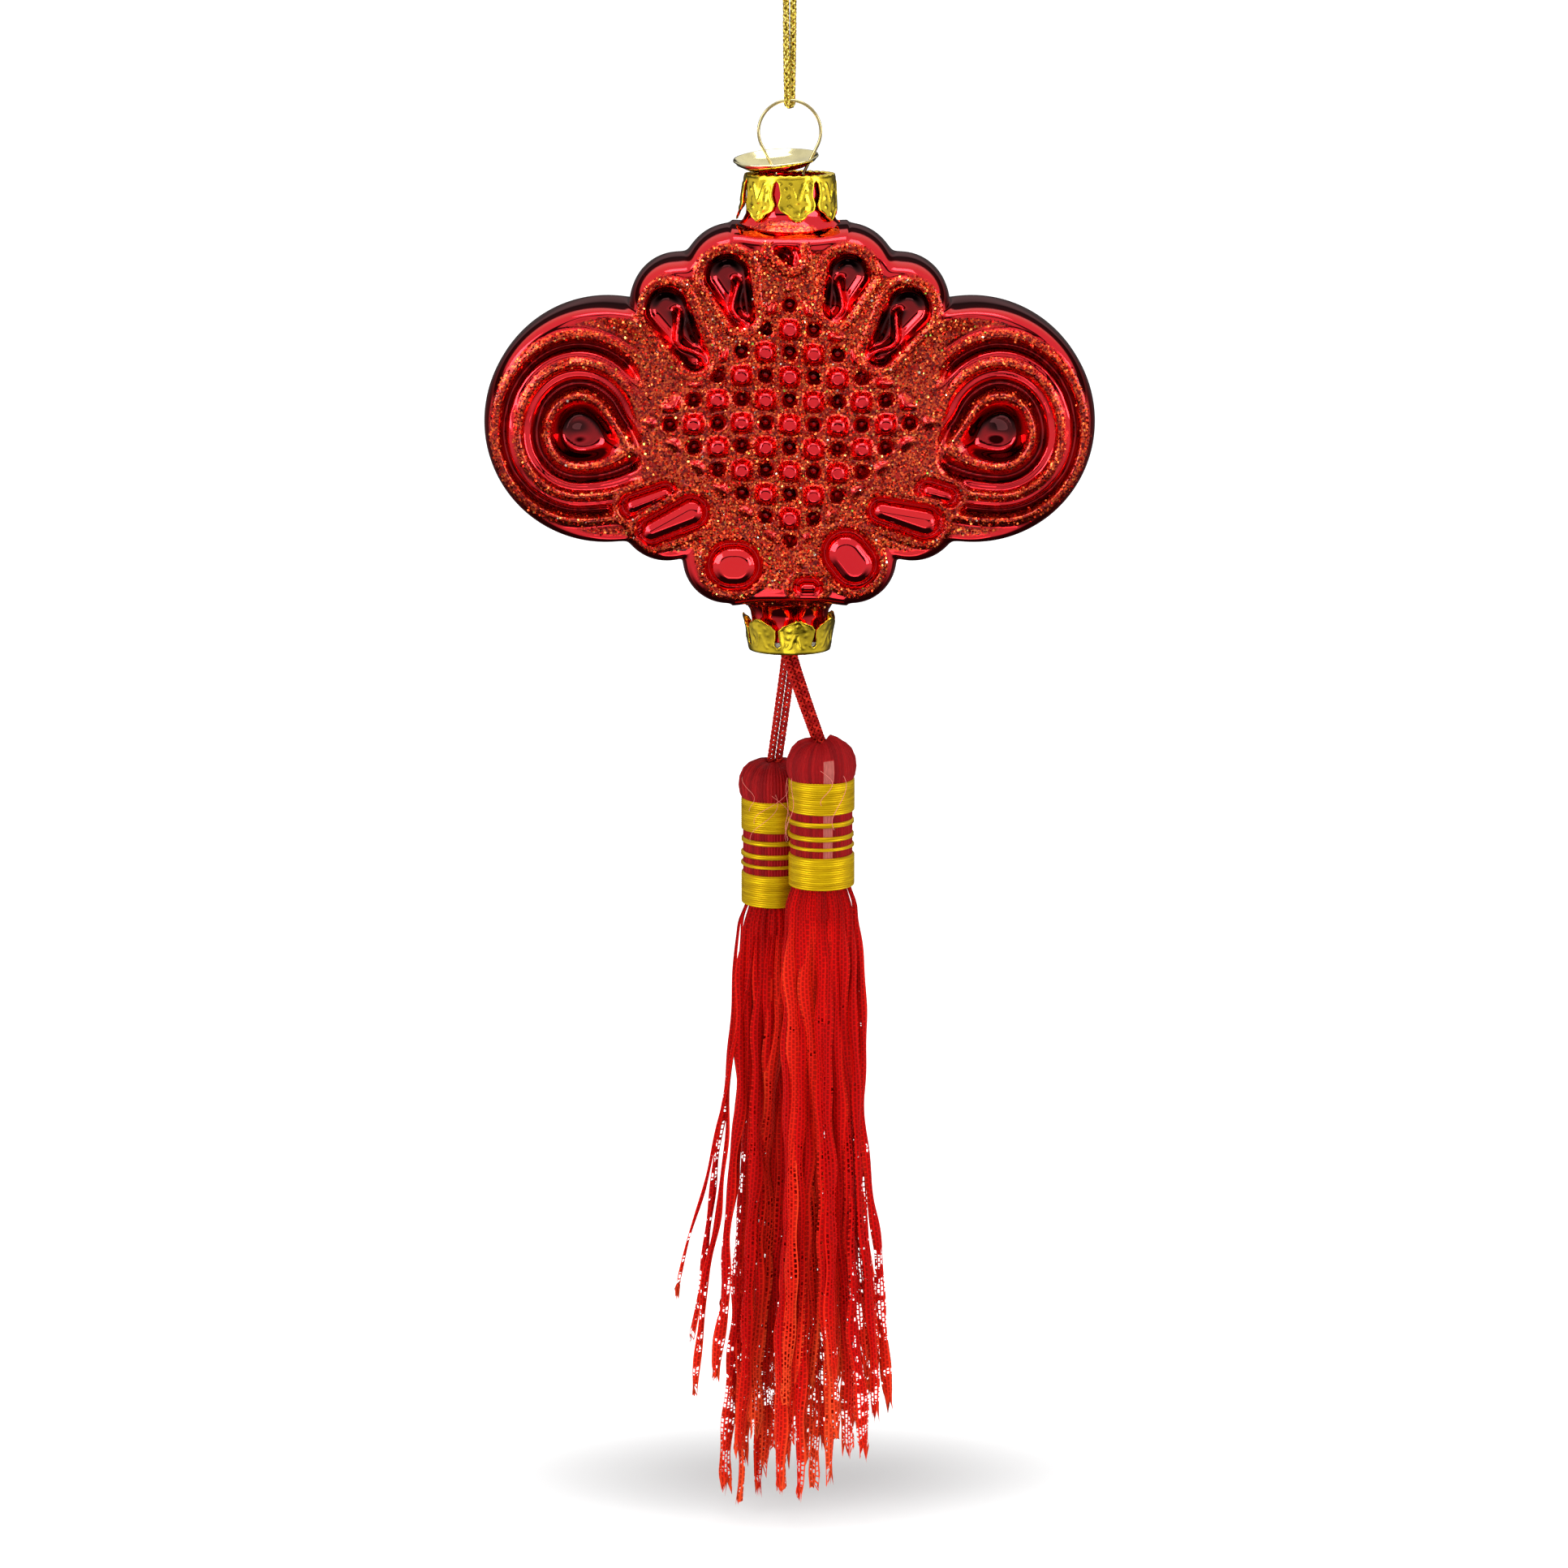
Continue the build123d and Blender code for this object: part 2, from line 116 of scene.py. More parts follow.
def smooth_range(tree, value, low, high, at_low=0.0, at_high=1.0):
    """A smooth step from one result to another while a value goes from low to high."""
    node = add_node(tree, "MapRange", {"interpolation_type": "SMOOTHSTEP"}, Value=value, From_Min=low,
                    From_Max=high, To_Min=at_low, To_Max=at_high)
    return node.outputs["Result"]


def colour_ramp(tree, place, *stops, interpolation="LINEAR"):
    """The colour at a place on a ramp through stops of position and colour."""
    node = add_node(tree, "ValToRGB", Fac=place)
    node.color_ramp.interpolation = interpolation
    for element, (position, colour) in zip(node.color_ramp.elements, (stops[0], stops[-1])):
        element.position = position
        element.color = (*colour, 1)
    for position, colour in stops[1:-1]:
        node.color_ramp.elements.new(position).color = (*colour, 1)
    return node.outputs["Color"]


def mix_colours(tree, share, first, second, blend_type="MIX"):
    """Two colours mixed or multiplied."""
    node = add_node(tree, "Mix", {"data_type": "RGBA", "blend_type": blend_type}, Factor=share, A=first,
                    B=second)
    return node.outputs["Result"]


world = bpy.data.worlds.new("studio")
bpy.context.scene.world = world
world.use_nodes = True
tree = world.node_tree
direction = add_node(tree, "SeparateXYZ", Vector=add_node(tree, "TexCoord").outputs["Generated"])
height = add_node(tree, "MapRange", Value=direction.outputs["Z"], From_Min=-1.0).outputs["Result"]
room_greys = [(0.14, 0.02), (0.2, 0.16), (0.3, 0.5), (0.41, 0.75), (0.53, 0.72), (0.57, 0.03), (0.66, 0.03),
              (0.7, 0.8), (0.9, 0.8)]
room_colour = colour_ramp(tree, height, *[(position, (grey, grey, grey)) for position, grey in room_greys])
# the low part of the room behind the ornament is dark too, which draws the far edge of the glass
behind = smooth_range(tree, direction.outputs["Y"], 0.3, 0.7)
low_down = smooth_range(tree, direction.outputs["Z"], 0.02, 0.3, 0.92, 0.0)
left_over = calculate(tree, "SUBTRACT", 1.0, calculate(tree, "MULTIPLY", behind, low_down))
# seen directly, the room is the same white as the sweep
seen_directly = add_node(tree, "LightPath").outputs["Is Camera Ray"]
set_inputs(tree, tree.nodes["Background"], Color=mix_colours(tree, seen_directly, room_colour, (1, 1, 1, 1)),
           Strength=calculate(tree, "MAXIMUM", left_over, seen_directly))


def new_object(name, bm, material):
    """Turns a bmesh in millimetres into a smooth-shaded object in metres."""
    mesh = bpy.data.meshes.new(name)
    bm.to_mesh(mesh)
    bm.free()
    mesh.transform(Matrix.Scale(MM, 4))
    for face in mesh.polygons:
        face.use_smooth = True
    if material:
        mesh.materials.append(material)
    piece = bpy.data.objects.new(name, mesh)
    bpy.context.scene.collection.objects.link(piece)
    return piece


def new_material(name, **values):
    """A Principled material with constants on its own sockets, its node tree and its shader."""
    material = bpy.data.materials.new(name)
    material.use_nodes = True
    tree = material.node_tree
    shader = tree.nodes["Principled BSDF"]
    set_inputs(tree, shader, **values)
    return material, tree, shader


def object_place(tree):
    """Object coordinates."""
    return add_node(tree, "TexCoord").outputs["Object"]


def share_of_box(tree):
    """Coordinates from 0 to 1 across the box of a piece."""
    return add_node(tree, "TexCoord").outputs["Generated"]


def attribute(tree, name):
    """A value that a piece's own mesh carries."""
    return add_node(tree, "Attribute", {"attribute_name": name}).outputs["Fac"]


def noise(tree, place, scale, detail=2):
    """Soft noise at a place."""
    return add_node(tree, "TexNoise", Vector=place, Scale=scale, Detail=detail).outputs["Fac"]


def bump(tree, height, depth, strength=1.0):
    """A normal that is bent by a height, for a bump of a depth in millimetres."""
    return add_node(tree, "Bump", Height=height, Distance=depth * MM, Strength=strength).outputs["Normal"]


# painted shadow: the sweep glows white except in a soft patch under the tassels, where the glow fades out and
# only the lamps light it
floor_material, tree, shader = new_material("white_sweep", Base_Color=(0.46, 0.46, 0.46, 1), Roughness=0.9,
                                            Emission_Color=(1, 1, 1, 1))
painted_shadow_middle = add_node(tree, "Mapping", Vector=object_place(tree), Location=(0, -0.027, 0),
                         Scale=(0.5, 1, 0))
from_painted_shadow = add_node(tree, "VectorMath", {"operation": "LENGTH"}, Vector=painted_shadow_middle.outputs["Vector"])
glow = smooth_range(tree, from_painted_shadow.outputs["Value"], 0.0, 0.05, 0.0, 0.85)
set_inputs(tree, shader, Emission_Strength=glow)
floor_half_width = 9000
floor_gap = 6
floor_bm = bmesh.new()
bmesh.ops.create_grid(floor_bm, x_segments=1, y_segments=1, size=floor_half_width,
                      matrix=Matrix.Translation((0, 0, skirt_low / MM - floor_gap)))
floor = new_object("floor", floor_bm, floor_material)
floor.visible_glossy = False

# ---------------------------------------------------------------- gold hanging cord
# Metallic tinsel yarns braided into a cord 1 mm thick. It goes under the ring's top in a
# tight fold, and its two ends are tied together in an overhand knot above.
def smooth_route(name, points):
    """A NURBS curve through control points in metres, and the points along it."""
    curve = bpy.data.curves.new(name, "CURVE")
    curve.dimensions = "3D"
    curve.resolution_u = 24
    spline = curve.splines.new("NURBS")
    spline.points.add(len(points) - 1)
    for point, place in zip(spline.points, points):
        point.co = (*place, 1)
    spline.order_u = 3
    spline.use_endpoint_u = True
    holder = bpy.data.objects.new(name, curve)
    mesh = bpy.data.meshes.new_from_object(holder)
    line = [v.co.copy() for v in mesh.vertices]
    bpy.data.objects.remove(holder)
    return line


def even_points(line, step):
    """The points of a line at even steps along it."""
    places = np.array([tuple(p) for p in line])
    along = np.concatenate([[0], np.cumsum(np.linalg.norm(np.diff(places, axis=0), axis=1))])
    count = max(2, int(round(along[-1] / step)) + 1)
    wanted = np.linspace(0, along[-1], count)
    return np.stack([np.interp(wanted, along, places[:, k]) for k in range(3)], axis=1)


def carried_frames(places):
    """Directions across a line that turn with it and don't twist round it."""
    tangents = np.gradient(places, axis=0)
    tangents /= np.linalg.norm(tangents, axis=1)[:, None]
    first = np.cross(tangents[0], (0.0, 0.0, 1.0) if abs(tangents[0][2]) < 0.9 else (1.0, 0.0, 0.0))
    sides = [first / np.linalg.norm(first)]
    for tangent in tangents[1:]:
        side = sides[-1] - tangent * np.dot(sides[-1], tangent)
        sides.append(side / np.linalg.norm(side))
    sides = np.array(sides)
    return sides, np.cross(tangents, sides)


def add_tube(bm, places, radius, sides=5, tint=None):
    """Adds a thin closed tube along places, in millimetres, to a bmesh."""
    across, upward = carried_frames(places)
    layer = bm.faces.layers.float.get("tint") if tint is not None else None
    rings = []
    for place, a, b in zip(places, across, upward):
        rings.append([bm.verts.new(place + radius * (a * math.cos(math.tau * k / sides)
                                                     + b * math.sin(math.tau * k / sides)))
                      for k in range(sides)])
    faces = [bm.faces.new(rings[0][::-1]), bm.faces.new(rings[-1])]
    for low, high in zip(rings, rings[1:]):
        for k in range(sides):
            faces.append(bm.faces.new((low[k], low[(k + 1) % sides], high[(k + 1) % sides], high[k])))
    if layer:
        for face in faces:
            face[layer] = tint


def braid(name, line, diameter, yarns, pitch, material, seed=1, yarn_share=0.19):
    """A cord of yarns that wind both ways round a line and pass over and under each other."""
    shades = random.Random(seed)
    places = even_points(line, 0.12 * MM) / MM
    across, upward = carried_frames(places)
    along = np.arange(len(places)) * 0.12
    yarn_r = diameter * yarn_share
    bm = bmesh.new()
    bm.faces.layers.float.new("tint")
    for turn_way in (-1, 1):
        for k in range(yarns):
            angle = math.tau * k / yarns + turn_way * math.tau * along / pitch
            lift = turn_way * 0.045 * diameter * np.cos(yarns * angle)
            distance = diameter / 2 - yarn_r - 0.03 * diameter + lift
            path = places + across * (distance * np.cos(angle))[:, None] \
                + upward * (distance * np.sin(angle))[:, None]
            add_tube(bm, path, yarn_r, 5, shades.random())
    return new_object(name, bm, material)


tinsel_material, tree, shader = new_material("tinsel", Metallic=0.85, Roughness=0.28)
tinsel_grain = noise(tree, object_place(tree), 2600)
tinsel_colour = colour_ramp(tree, tinsel_grain, (0.36, (0.16, 0.1, 0.01)), (0.5, (0.76, 0.56, 0.06)),
                            (0.66, (0.98, 0.86, 0.28)))
set_inputs(tree, shader, Base_Color=tinsel_colour, Normal=bump(tree, tinsel_grain, 0.1, 0.6))

tinsel_d = 1.0 * MM
gold_points = [
    (1.394, 0, -13.8), (0.9, 0, -19), (0.6, 0, -26), (0.56, 0, -36), (0.52, 0.4, -41), (0.44, 0.7, -45),
    (0.4, 0.75, -48), (0.38, 0.75, -48.85), (-0.38, -0.75, -48.85), (-0.4, -0.75, -48),
    (-0.44, -0.7, -45), (-0.52, -0.4, -41), (-0.56, 0, -36), (-0.6, 0, -26), (-0.9, 0, -18), (-1.6, 0, -9),
    (-2.0, 0, -1.6), (-2.0, 0, 0.5), (2.0, 0, 0.5), (2.0, 0, -1.6), (1.572, 0, -10.2),
]
gold_line = smooth_route("gold_route", [Vector(p) * MM for p in gold_points])
gold_cord = braid("gold_braid", gold_line, 1.12, 3, 3.4, tinsel_material)
gold_length = sum((b - a).length for a, b in zip(gold_line, gold_line[1:]))
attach(gold_cord, "hanging_cord")
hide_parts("gold_cord")

# The knot is one turn of the cord round itself, and its two tails stick out below it.
knot_middle = Vector((1.483, 0, -12.0))
knot_turn = []
for k in range(61):
    angle = math.tau * 1.9 * k / 60
    knot_turn.append(knot_middle + Vector((0.85 * math.cos(angle), 0.85 * math.sin(angle),
                                           1.35 - 2.7 * k / 60)))
gold_knot = braid("gold_knot", [p * MM for p in knot_turn], tinsel_d / MM, 3, 3.4, tinsel_material, 5)
tails = []
for side in (-1, 1):
    tail_points = [knot_middle + Vector(p) for p in (
        (0.2, 0.2 * side, -0.6), (1.2, 0.6 * side, -2.2), (2.3, 1.1 * side, -3.6), (3.9, 1.9 * side, -5.4))]
    tail_line = smooth_route("tail_route", [p * MM for p in tail_points])
    tails.append(braid(f"gold_tail_{'ab'[side > 0]}", tail_line, 0.9, 3, 3.0, tinsel_material, 7 + side))
for piece in (gold_knot, *tails):
    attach(piece, "hanging_cord")
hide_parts("gold_cord_knot")

# ---------------------------------------------------------------- glass
# A hollow blown body with the outline of a knot of cord. Its front and back carry the same
# moulded relief, and glitter sticks to the ridges and to the field between the studs.
neck_rise = 38.05
glass_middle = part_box("glass_body")[1].z / MM - neck_rise
# lobes of the outline: x and z of the middle, and radius
glass_lobes = [
    (9.2, 22.2, 8.1), (18.1, 18.1, 7.5), (29.9, -0.6, 19.05), (20.0, -15.2, 7.6), (10.1, -22.6, 7.2),
]
outline_blend = 1.5
rim_width = 2.3
face_depth = 12.9
face_cells = 260
rim_start = 0.9
stud_pitch = (3.8, 3.75)


def eased(value, low, high):
    """0 up to low and 1 from high on, with a smooth step between."""
    share = np.clip((value - low) / (high - low), 0, 1)
    return share * share * (3 - 2 * share)


def waves(value, stations):
    """A smooth curve through stations of place and height, level at each of them."""
    at, heights = np.array(stations, dtype=float).T
    place = np.clip(value, at[0], at[-1])
    k = np.clip(np.searchsorted(at, place, side="right") - 1, 0, len(at) - 2)
    share = (place - at[k]) / (at[k + 1] - at[k])
    share = share * share * (3 - 2 * share)
    return heights[k] * (1 - share) + heights[k + 1] * share


def outline_reach(angle):
    """How far the outline is from the middle of the body in each direction."""
    across, up = np.abs(np.cos(angle)), np.sin(angle)
    reaches = []
    for x, z, radius in glass_lobes:
        along = across * x + up * z
        chord = radius**2 - (x**2 + z**2 - along**2)
        reaches.append(np.where(chord > 0, along + np.sqrt(np.maximum(chord, 0)), 0))
    level = np.where(up > 0, glass_lobes[0][1] + glass_lobes[0][2], glass_lobes[-1][1] - glass_lobes[-1][2])
    flat = level / np.where(np.abs(up) < 0.3, np.copysign(0.3, up), up)
    reaches.append(flat - 2 * np.maximum(0, across * flat - glass_lobes[0][0]))
    return np.log(np.exp(outline_blend * np.array(reaches)).sum(axis=0)) / outline_blend


def to_capsule(x, z, start, end, start_r, end_r):
    """Distance outside a tapered capsule, with the places along and across its axis."""
    ax, az = end[0] - start[0], end[1] - start[1]
    length = math.hypot(ax, az)
    along = ((x - start[0]) * ax + (z - start[1]) * az) / length
    aside = ((z - start[1]) * ax - (x - start[0]) * az) / length
    held = np.clip(along, 0, length)
    outside = np.hypot(along - held, aside) - (start_r + (end_r - start_r) * held / length)
    return outside, along, aside


# section across the loops at the sides, from the eye outwards: distance and height, and the
# ridges that carry glitter: distance and half width
loop_section = [
    (0, -3.0), (2.2, -2.7), (5.3, 0.7), (6.9, -2.0), (8.0, -0.5), (8.5, -0.6), (9.7, 0.7), (10.7, 0.05),
    (11.1, 0.1), (12.1, -2.2), (13.4, 0.6), (14.8, 0),
]
loop_ridges = [(5.35, 0.8), (9.75, 0.75), (13.45, 0.85)]
# hollows of the upper loops: start, end, radii, and the swing of the smooth fold inside
hollows = [
    ((-9.8, 23.2), (-7.6, 17.2), 3.5, 2.0, 1.0),
    ((9.2, 23.4), (7.4, 18.4), 3.3, 2.0, -0.9),
    ((-19.4, 18.0), (-14.9, 10.4), 3.5, 2.0, 1.1),
    ((18.7, 18.0), (14.2, 11.2), 3.5, 2.0, -1.1),
    ((-0.4, 27.9), (0.3, 26.2), 2.2, 1.2, 0.5),
]
# smooth pads of the lower loops: start, end and radii
pads = [
    ((-25.0, -13.2), (-19.8, -11.2), 1.7, 1.5),
    ((-22.0, -17.2), (-15.6, -14.2), 2.0, 2.5),
    ((22.0, -10.8), (25.2, -11.6), 1.6, 1.4),
    ((14.6, -14.0), (21.6, -15.8), 1.9, 2.5),
    ((-9.4, -22.8), (-8.4, -22.8), 3.6, 3.6),
    ((9.0, -20.8), (10.4, -22.6), 3.5, 3.5),
    ((2.3, -26.3), (3.6, -26.3), 1.3, 1.3),
]


def relief(x, z, edge):
    """Height of the moulded relief and the share of glitter, at x and z from the middle of
    the body and a distance from its edge."""
    wobble = 0.14 * np.sin(0.61 * x + 1.3 * np.sin(0.37 * z))
    wobble = wobble * np.sin(0.53 * z + 0.9 * np.sin(0.41 * x))
    height = wobble + 0.5 * eased(edge, 2, 12)
    glitter = eased(edge, 3.0, 3.8)

    # lattice of round studs and pits
    inside = np.abs(x) / 24.5 + np.abs(z - 0.4) / 23.0
    stud = np.cos(np.pi * x / stud_pitch[0])
    stud = stud * np.cos(np.pi * (z + 0.25 * np.sin(0.2 * x)) / stud_pitch[1])
    amount = 1 - eased(inside, 0.82, 0.98)
    rise = np.where(stud > 0, 1.7 * eased(stud, 0.0, 0.8), -2.4 * eased(-stud, 0.45, 0.97))
    height = height + amount * rise
    glitter = glitter * (1 - amount * np.maximum(eased(stud, 0.14, 0.24), eased(-stud, 0.5, 0.62)))

    # loops at both sides, like three strands laid round an eye
    for side in (-1, 1):
        inward = 33.3 - side * x
        up = z + 1.7
        arm = 0.6 + 0.4 * eased(up, -4, 4)
        reach = np.hypot(inward * np.where(inward > 0, arm, 1), up * np.where(up > 0, 0.86, 0.98))
        strands = waves(reach, loop_section)
        on_strand = np.zeros_like(x)
        for ridge, half in loop_ridges:
            on_strand = np.maximum(on_strand, 1 - eased(np.abs(reach - ridge), half - 0.15, half + 0.15))
        there = (1 - eased(reach, 14.4, 15.2)) * (1 - eased(inward, 7.5, 10.5))
        height = height * (1 - there) + there * (strands + wobble)
        glitter = glitter * (1 - there) + there * on_strand

    for start, end, start_r, end_r, swing in hollows:
        outside, along, aside = to_capsule(x, z, start, end, start_r, end_r)
        fold = np.exp(-((aside - swing * np.sin(0.75 * along + 0.6)) / 0.62)**2)
        depth = waves(outside, [(-2.1, -2.7), (-0.9, -2.2), (0.5, 0.35), (1.3, 0.7), (2.2, 0.1)])
        depth = depth + 2.0 * fold * (1 - eased(outside, -0.8, 0.2)) * eased(along, 0, 2.5)
        there = 1 - eased(outside, 1.4, 2.4)
        height = height * (1 - there) + there * depth
        glitter = glitter * (1 - there) + there * eased(outside, 0.1, 0.4) * (edge > 1.8)
    for start, end, start_r, end_r in pads:
        outside, along, aside = to_capsule(x, z, start, end, start_r, end_r)
        depth = waves(outside, [(-1.9, 1.25), (-0.9, 0.8), (-0.1, -1.1), (0.7, 0.3), (1.4, 0.5), (2.2, 0.1)])
        there = 1 - eased(outside, 1.2, 2.2)
        height = height * (1 - there) + there * depth
        glitter = glitter * (1 - there) + there * eased(outside, 0.35, 0.6) * (edge > 1.8)
    return height * eased(edge, rim_width - 0.4, rim_width + 1.6), glitter


def glass_half(name, side, material):
    """The front (-1) or back (1) half of the body, from the middle of its face to the seam,
    and where glitter sticks to it."""
    bm = bmesh.new()
    bmesh.ops.create_grid(bm, x_segments=face_cells, y_segments=face_cells, size=1)
    u, v = np.array([tuple(vert.co.xy) for vert in bm.verts]).T
    wide = np.abs(u) > np.abs(v)
    share = np.where(wide, np.abs(u), np.abs(v))
    turn = math.pi / 4 * np.where(wide, v, u) / np.where(wide, u, np.where(v == 0, 1, v))
    angle = np.where(wide, turn + math.pi * (u < 0), math.pi / 2 - turn + math.pi * (v < 0))
    outline = outline_reach(angle)
    over_rim = np.clip((share - rim_start) / (1 - rim_start), 0, 1) * math.pi / 2
    face_reach = (outline - rim_width) * np.minimum(share / rim_start, 1)
    reach = face_reach + rim_width * np.sin(over_rim)**0.85
    x, z = reach * np.cos(angle), reach * np.sin(angle)
    height, glitter = relief(x, z, outline - reach)
    depth = face_depth * np.maximum(np.cos(over_rim), 0)**0.7 + height
    layer = bm.verts.layers.float.new("glitter")
    painted_shade_layer = bm.verts.layers.float.new("painted_hollow_shade")
    for vert, px, py, pz, amount in zip(bm.verts, x, side * depth, glass_middle + z, glitter):
        vert.co = (px, py, pz)
        vert[layer] = amount
    if side > 0:
        bmesh.ops.reverse_faces(bm, faces=bm.faces)
    bm.normal_update()
    # painted shade: the colour is darkened in the deep parts of the relief, most on the upper walls of the
    # hollows, which face down and away from the light
    facing_down = np.array([-vert.normal.z for vert in bm.verts])
    shade = np.clip(-height - 0.5, 0, 1.0) * eased(facing_down, -0.35, 0.15)
    for vert, deep in zip(bm.verts, shade):
        vert[painted_shade_layer] = deep
    stuck = [(vert.co.copy(), vert.normal.copy()) for vert, amount in zip(bm.verts, glitter)
             if amount > 0.6]
    return new_object(name, bm, material), stuck


def add_lathe(bm, stations, sides=96):
    """Adds a surface turned round the Z axis to a bmesh, from stations of radius and height."""
    turns = [math.tau * k / sides for k in range(sides)]
    rings = [[bm.verts.new((radius * math.cos(turn), radius * math.sin(turn), height)) for turn in turns]
             for radius, height in stations]
    for low, high in zip(rings, rings[1:]):
        for k in range(sides):
            bm.faces.new((low[k], low[(k + 1) % sides], high[(k + 1) % sides], high[k]))
    return rings


mirror_red, tree, shader = new_material("mirror_red", Metallic=1.0, Coat_Weight=0.4, Coat_Roughness=0.02,
                                        Coat_IOR=1.5, Specular_Tint=(1.0, 0.25, 0.3, 1))
glass_place = object_place(tree)
stuck_on = attribute(tree, "glitter")
flecks = add_node(tree, "TexVoronoi", Vector=glass_place, Scale=3400)
fleck_chance = add_node(tree, "SeparateColor", Color=flecks.outputs["Color"])
fleck_colour = colour_ramp(tree, fleck_chance.outputs["Red"], (0.15, (0.16, 0.003, 0.004)),
                           (0.6, (0.6, 0.022, 0.012)), (0.95, (0.95, 0.14, 0.03)))
lacquer_colour = colour_ramp(tree, noise(tree, glass_place, 60), (0, (0.78, 0.006, 0.022)),
                             (1, (0.95, 0.022, 0.024)))
surface_colour = mix_colours(tree, stuck_on, lacquer_colour, fleck_colour)
surface_roughness = add_node(tree, "MapRange", Value=stuck_on, To_Min=0.05, To_Max=0.34)
fleck_height = calculate(tree, "MULTIPLY", fleck_chance.outputs["Green"], stuck_on)
# painted shade: the colour goes to near black in the deep hollows of the relief
set_inputs(tree, shader,
           Base_Color=mix_colours(tree, attribute(tree, "painted_hollow_shade"), surface_colour, (0.04, 0.0, 0.001, 1)),
           Roughness=surface_roughness.outputs["Result"], Normal=bump(tree, fleck_height, 0.12, 0.8))

# most flakes are red or copper, and a few are green or white
flake_material, tree, shader = new_material("glitter_flake", Metallic=1.0, Roughness=0.22)
flake_colour = colour_ramp(
    tree, attribute(tree, "shade"), (0, (0.42, 0.008, 0.006)), (0.35, (0.85, 0.05, 0.015)),
    (0.65, (1.0, 0.16, 0.04)), (0.93, (1.0, 0.42, 0.12)), (0.984, (0.5, 0.75, 0.1)),
    (0.991, (1.0, 0.9, 0.75)),
    interpolation="CONSTANT")
set_inputs(tree, shader, Base_Color=flake_colour)


def glitter_flakes(name, stuck, count, seed):
    """Small flat flakes that lie at all angles on a glittered surface."""
    chance = random.Random(seed)
    bm = bmesh.new()
    layer = bm.faces.layers.float.new("shade")
    for _ in range(count):
        place, normal = chance.choice(stuck)
        tilt = Vector((chance.gauss(0, 1), chance.gauss(0, 1), chance.gauss(0, 1)))
        facing = (normal + 0.5 * tilt).normalized()
        if facing.dot(normal) < 0.5:
            facing = normal
        along = facing.cross(tilt).normalized() * chance.uniform(0.11, 0.18)
        across = facing.cross(along)
        middle = place + 0.09 * normal + 0.22 * facing.orthogonal() * chance.uniform(-1, 1) \
            + 0.22 * along.normalized() * chance.uniform(-1, 1)
        face = bm.faces.new([bm.verts.new(middle + along * a + across * b)
                             for a, b in ((1, 0.8), (-1, 1), (-0.9, -1), (1, -0.9))])
        face[layer] = chance.random()
    return new_object(name, bm, flake_material)


glass_front, front_stuck = glass_half("glass_front", -1, mirror_red)
glass_back, back_stuck = glass_half("glass_back", 1, mirror_red)
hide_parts("glass_body")
face_flakes = 15000
neck_flakes = 2200
flakes = [glitter_flakes("glitter_front", front_stuck, face_flakes, 3),
          glitter_flakes("glitter_back", back_stuck, face_flakes, 4)]

# Both necks are drawn out of the body, with glitter round their roots.
# stations of radius and height, from the body to the bore at the top, and the other way below.
top_neck = [
    (10.6, 28.0), (9.5, 29.6), (8.5, 30.4), (7.5, 31.2), (7.0, 32.2), (6.85, 34.0), (6.8, neck_rise),
    (5.9, neck_rise),
]
low_neck = [
    (5.2, -neck_rise), (6.1, -neck_rise), (6.15, -33.4), (6.4, -32.0), (7.1, -30.8), (8.0, -29.9),
    (8.8, -28.2),
]
neck_bm = bmesh.new()
neck_layer = neck_bm.verts.layers.float.new("glitter")
root_heights = {True: 30.7, False: -30.4}
for stations in (top_neck[::-1], low_neck[::-1]):
    fine = []
    for (r0, z0), (r1, z1) in zip(stations, stations[1:]):
        steps = max(1, int(abs(z1 - z0) / 0.4))
        fine += [(r0 + (r1 - r0) * k / steps, glass_middle + z0 + (z1 - z0) * k / steps)
                 for k in range(steps)]
    fine.append((stations[-1][0], glass_middle + stations[-1][1]))
    for ring in add_lathe(neck_bm, fine):
        for k, vert in enumerate(ring):
            lift = 0.7 * math.sin(3 * math.tau * k / len(ring) + 0.6)
            upper = vert.co.z > glass_middle
            root = root_heights[upper] + lift
            stuck_here = vert.co.z - glass_middle < root if upper else vert.co.z - glass_middle > root
            vert[neck_layer] = 1.0 if stuck_here else 0.0
bmesh.ops.recalc_face_normals(neck_bm, faces=neck_bm.faces)
neck_bm.normal_update()
neck_stuck = [(vert.co.copy(), vert.normal.copy()) for vert in neck_bm.verts if vert[neck_layer] > 0.5]
glass_necks = new_object("glass_necks", neck_bm, mirror_red)
flakes.append(glitter_flakes("glitter_necks", neck_stuck, neck_flakes, 5))
for piece in (glass_front, glass_back, glass_necks, *flakes):
    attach(piece, "glass")

# ---------------------------------------------------------------- wire ring, dish, pin and glue
# The drawn wire keeps its own shape. The pressed dish sits loose on the crown, a little tipped.
# The pin and the glue are almost hidden inside the bottom crown.
def finish_node(name, material):
    """Gives a piece that keeps its own shape a better material."""
    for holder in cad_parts[name].material_slots:
        holder.material = material


def rough_metal(name, colour, roughness, grain_scale, grain_depth):
    """A metal with a fine uneven surface and slightly uneven colour."""
    material, tree, shader = new_material(name, Metallic=1.0, Roughness=roughness)
    grain = noise(tree, object_place(tree), grain_scale, 4)
    darker = [0.72 * part for part in colour]
    set_inputs(tree, shader, Base_Color=colour_ramp(tree, grain, (0.3, darker), (0.6, colour)),
               Normal=bump(tree, grain, grain_depth, 0.5))
    return material


finish_node("ring_wire", rough_metal("brass_wire", (0.62, 0.5, 0.24), 0.2, 900, 0.03))
finish_node("toggle_pin", rough_metal("plain_wire", (0.6, 0.58, 0.55), 0.3, 1200, 0.02))
glue_material, tree, shader = new_material("cloudy_glue", Base_Color=(0.75, 0.66, 0.5, 1), Roughness=0.35,
                                           Subsurface_Weight=0.2)
set_inputs(tree, shader, Normal=bump(tree, noise(tree, share_of_box(tree), 700), 0.3))
finish_node("lower_glue_ring", glue_material)

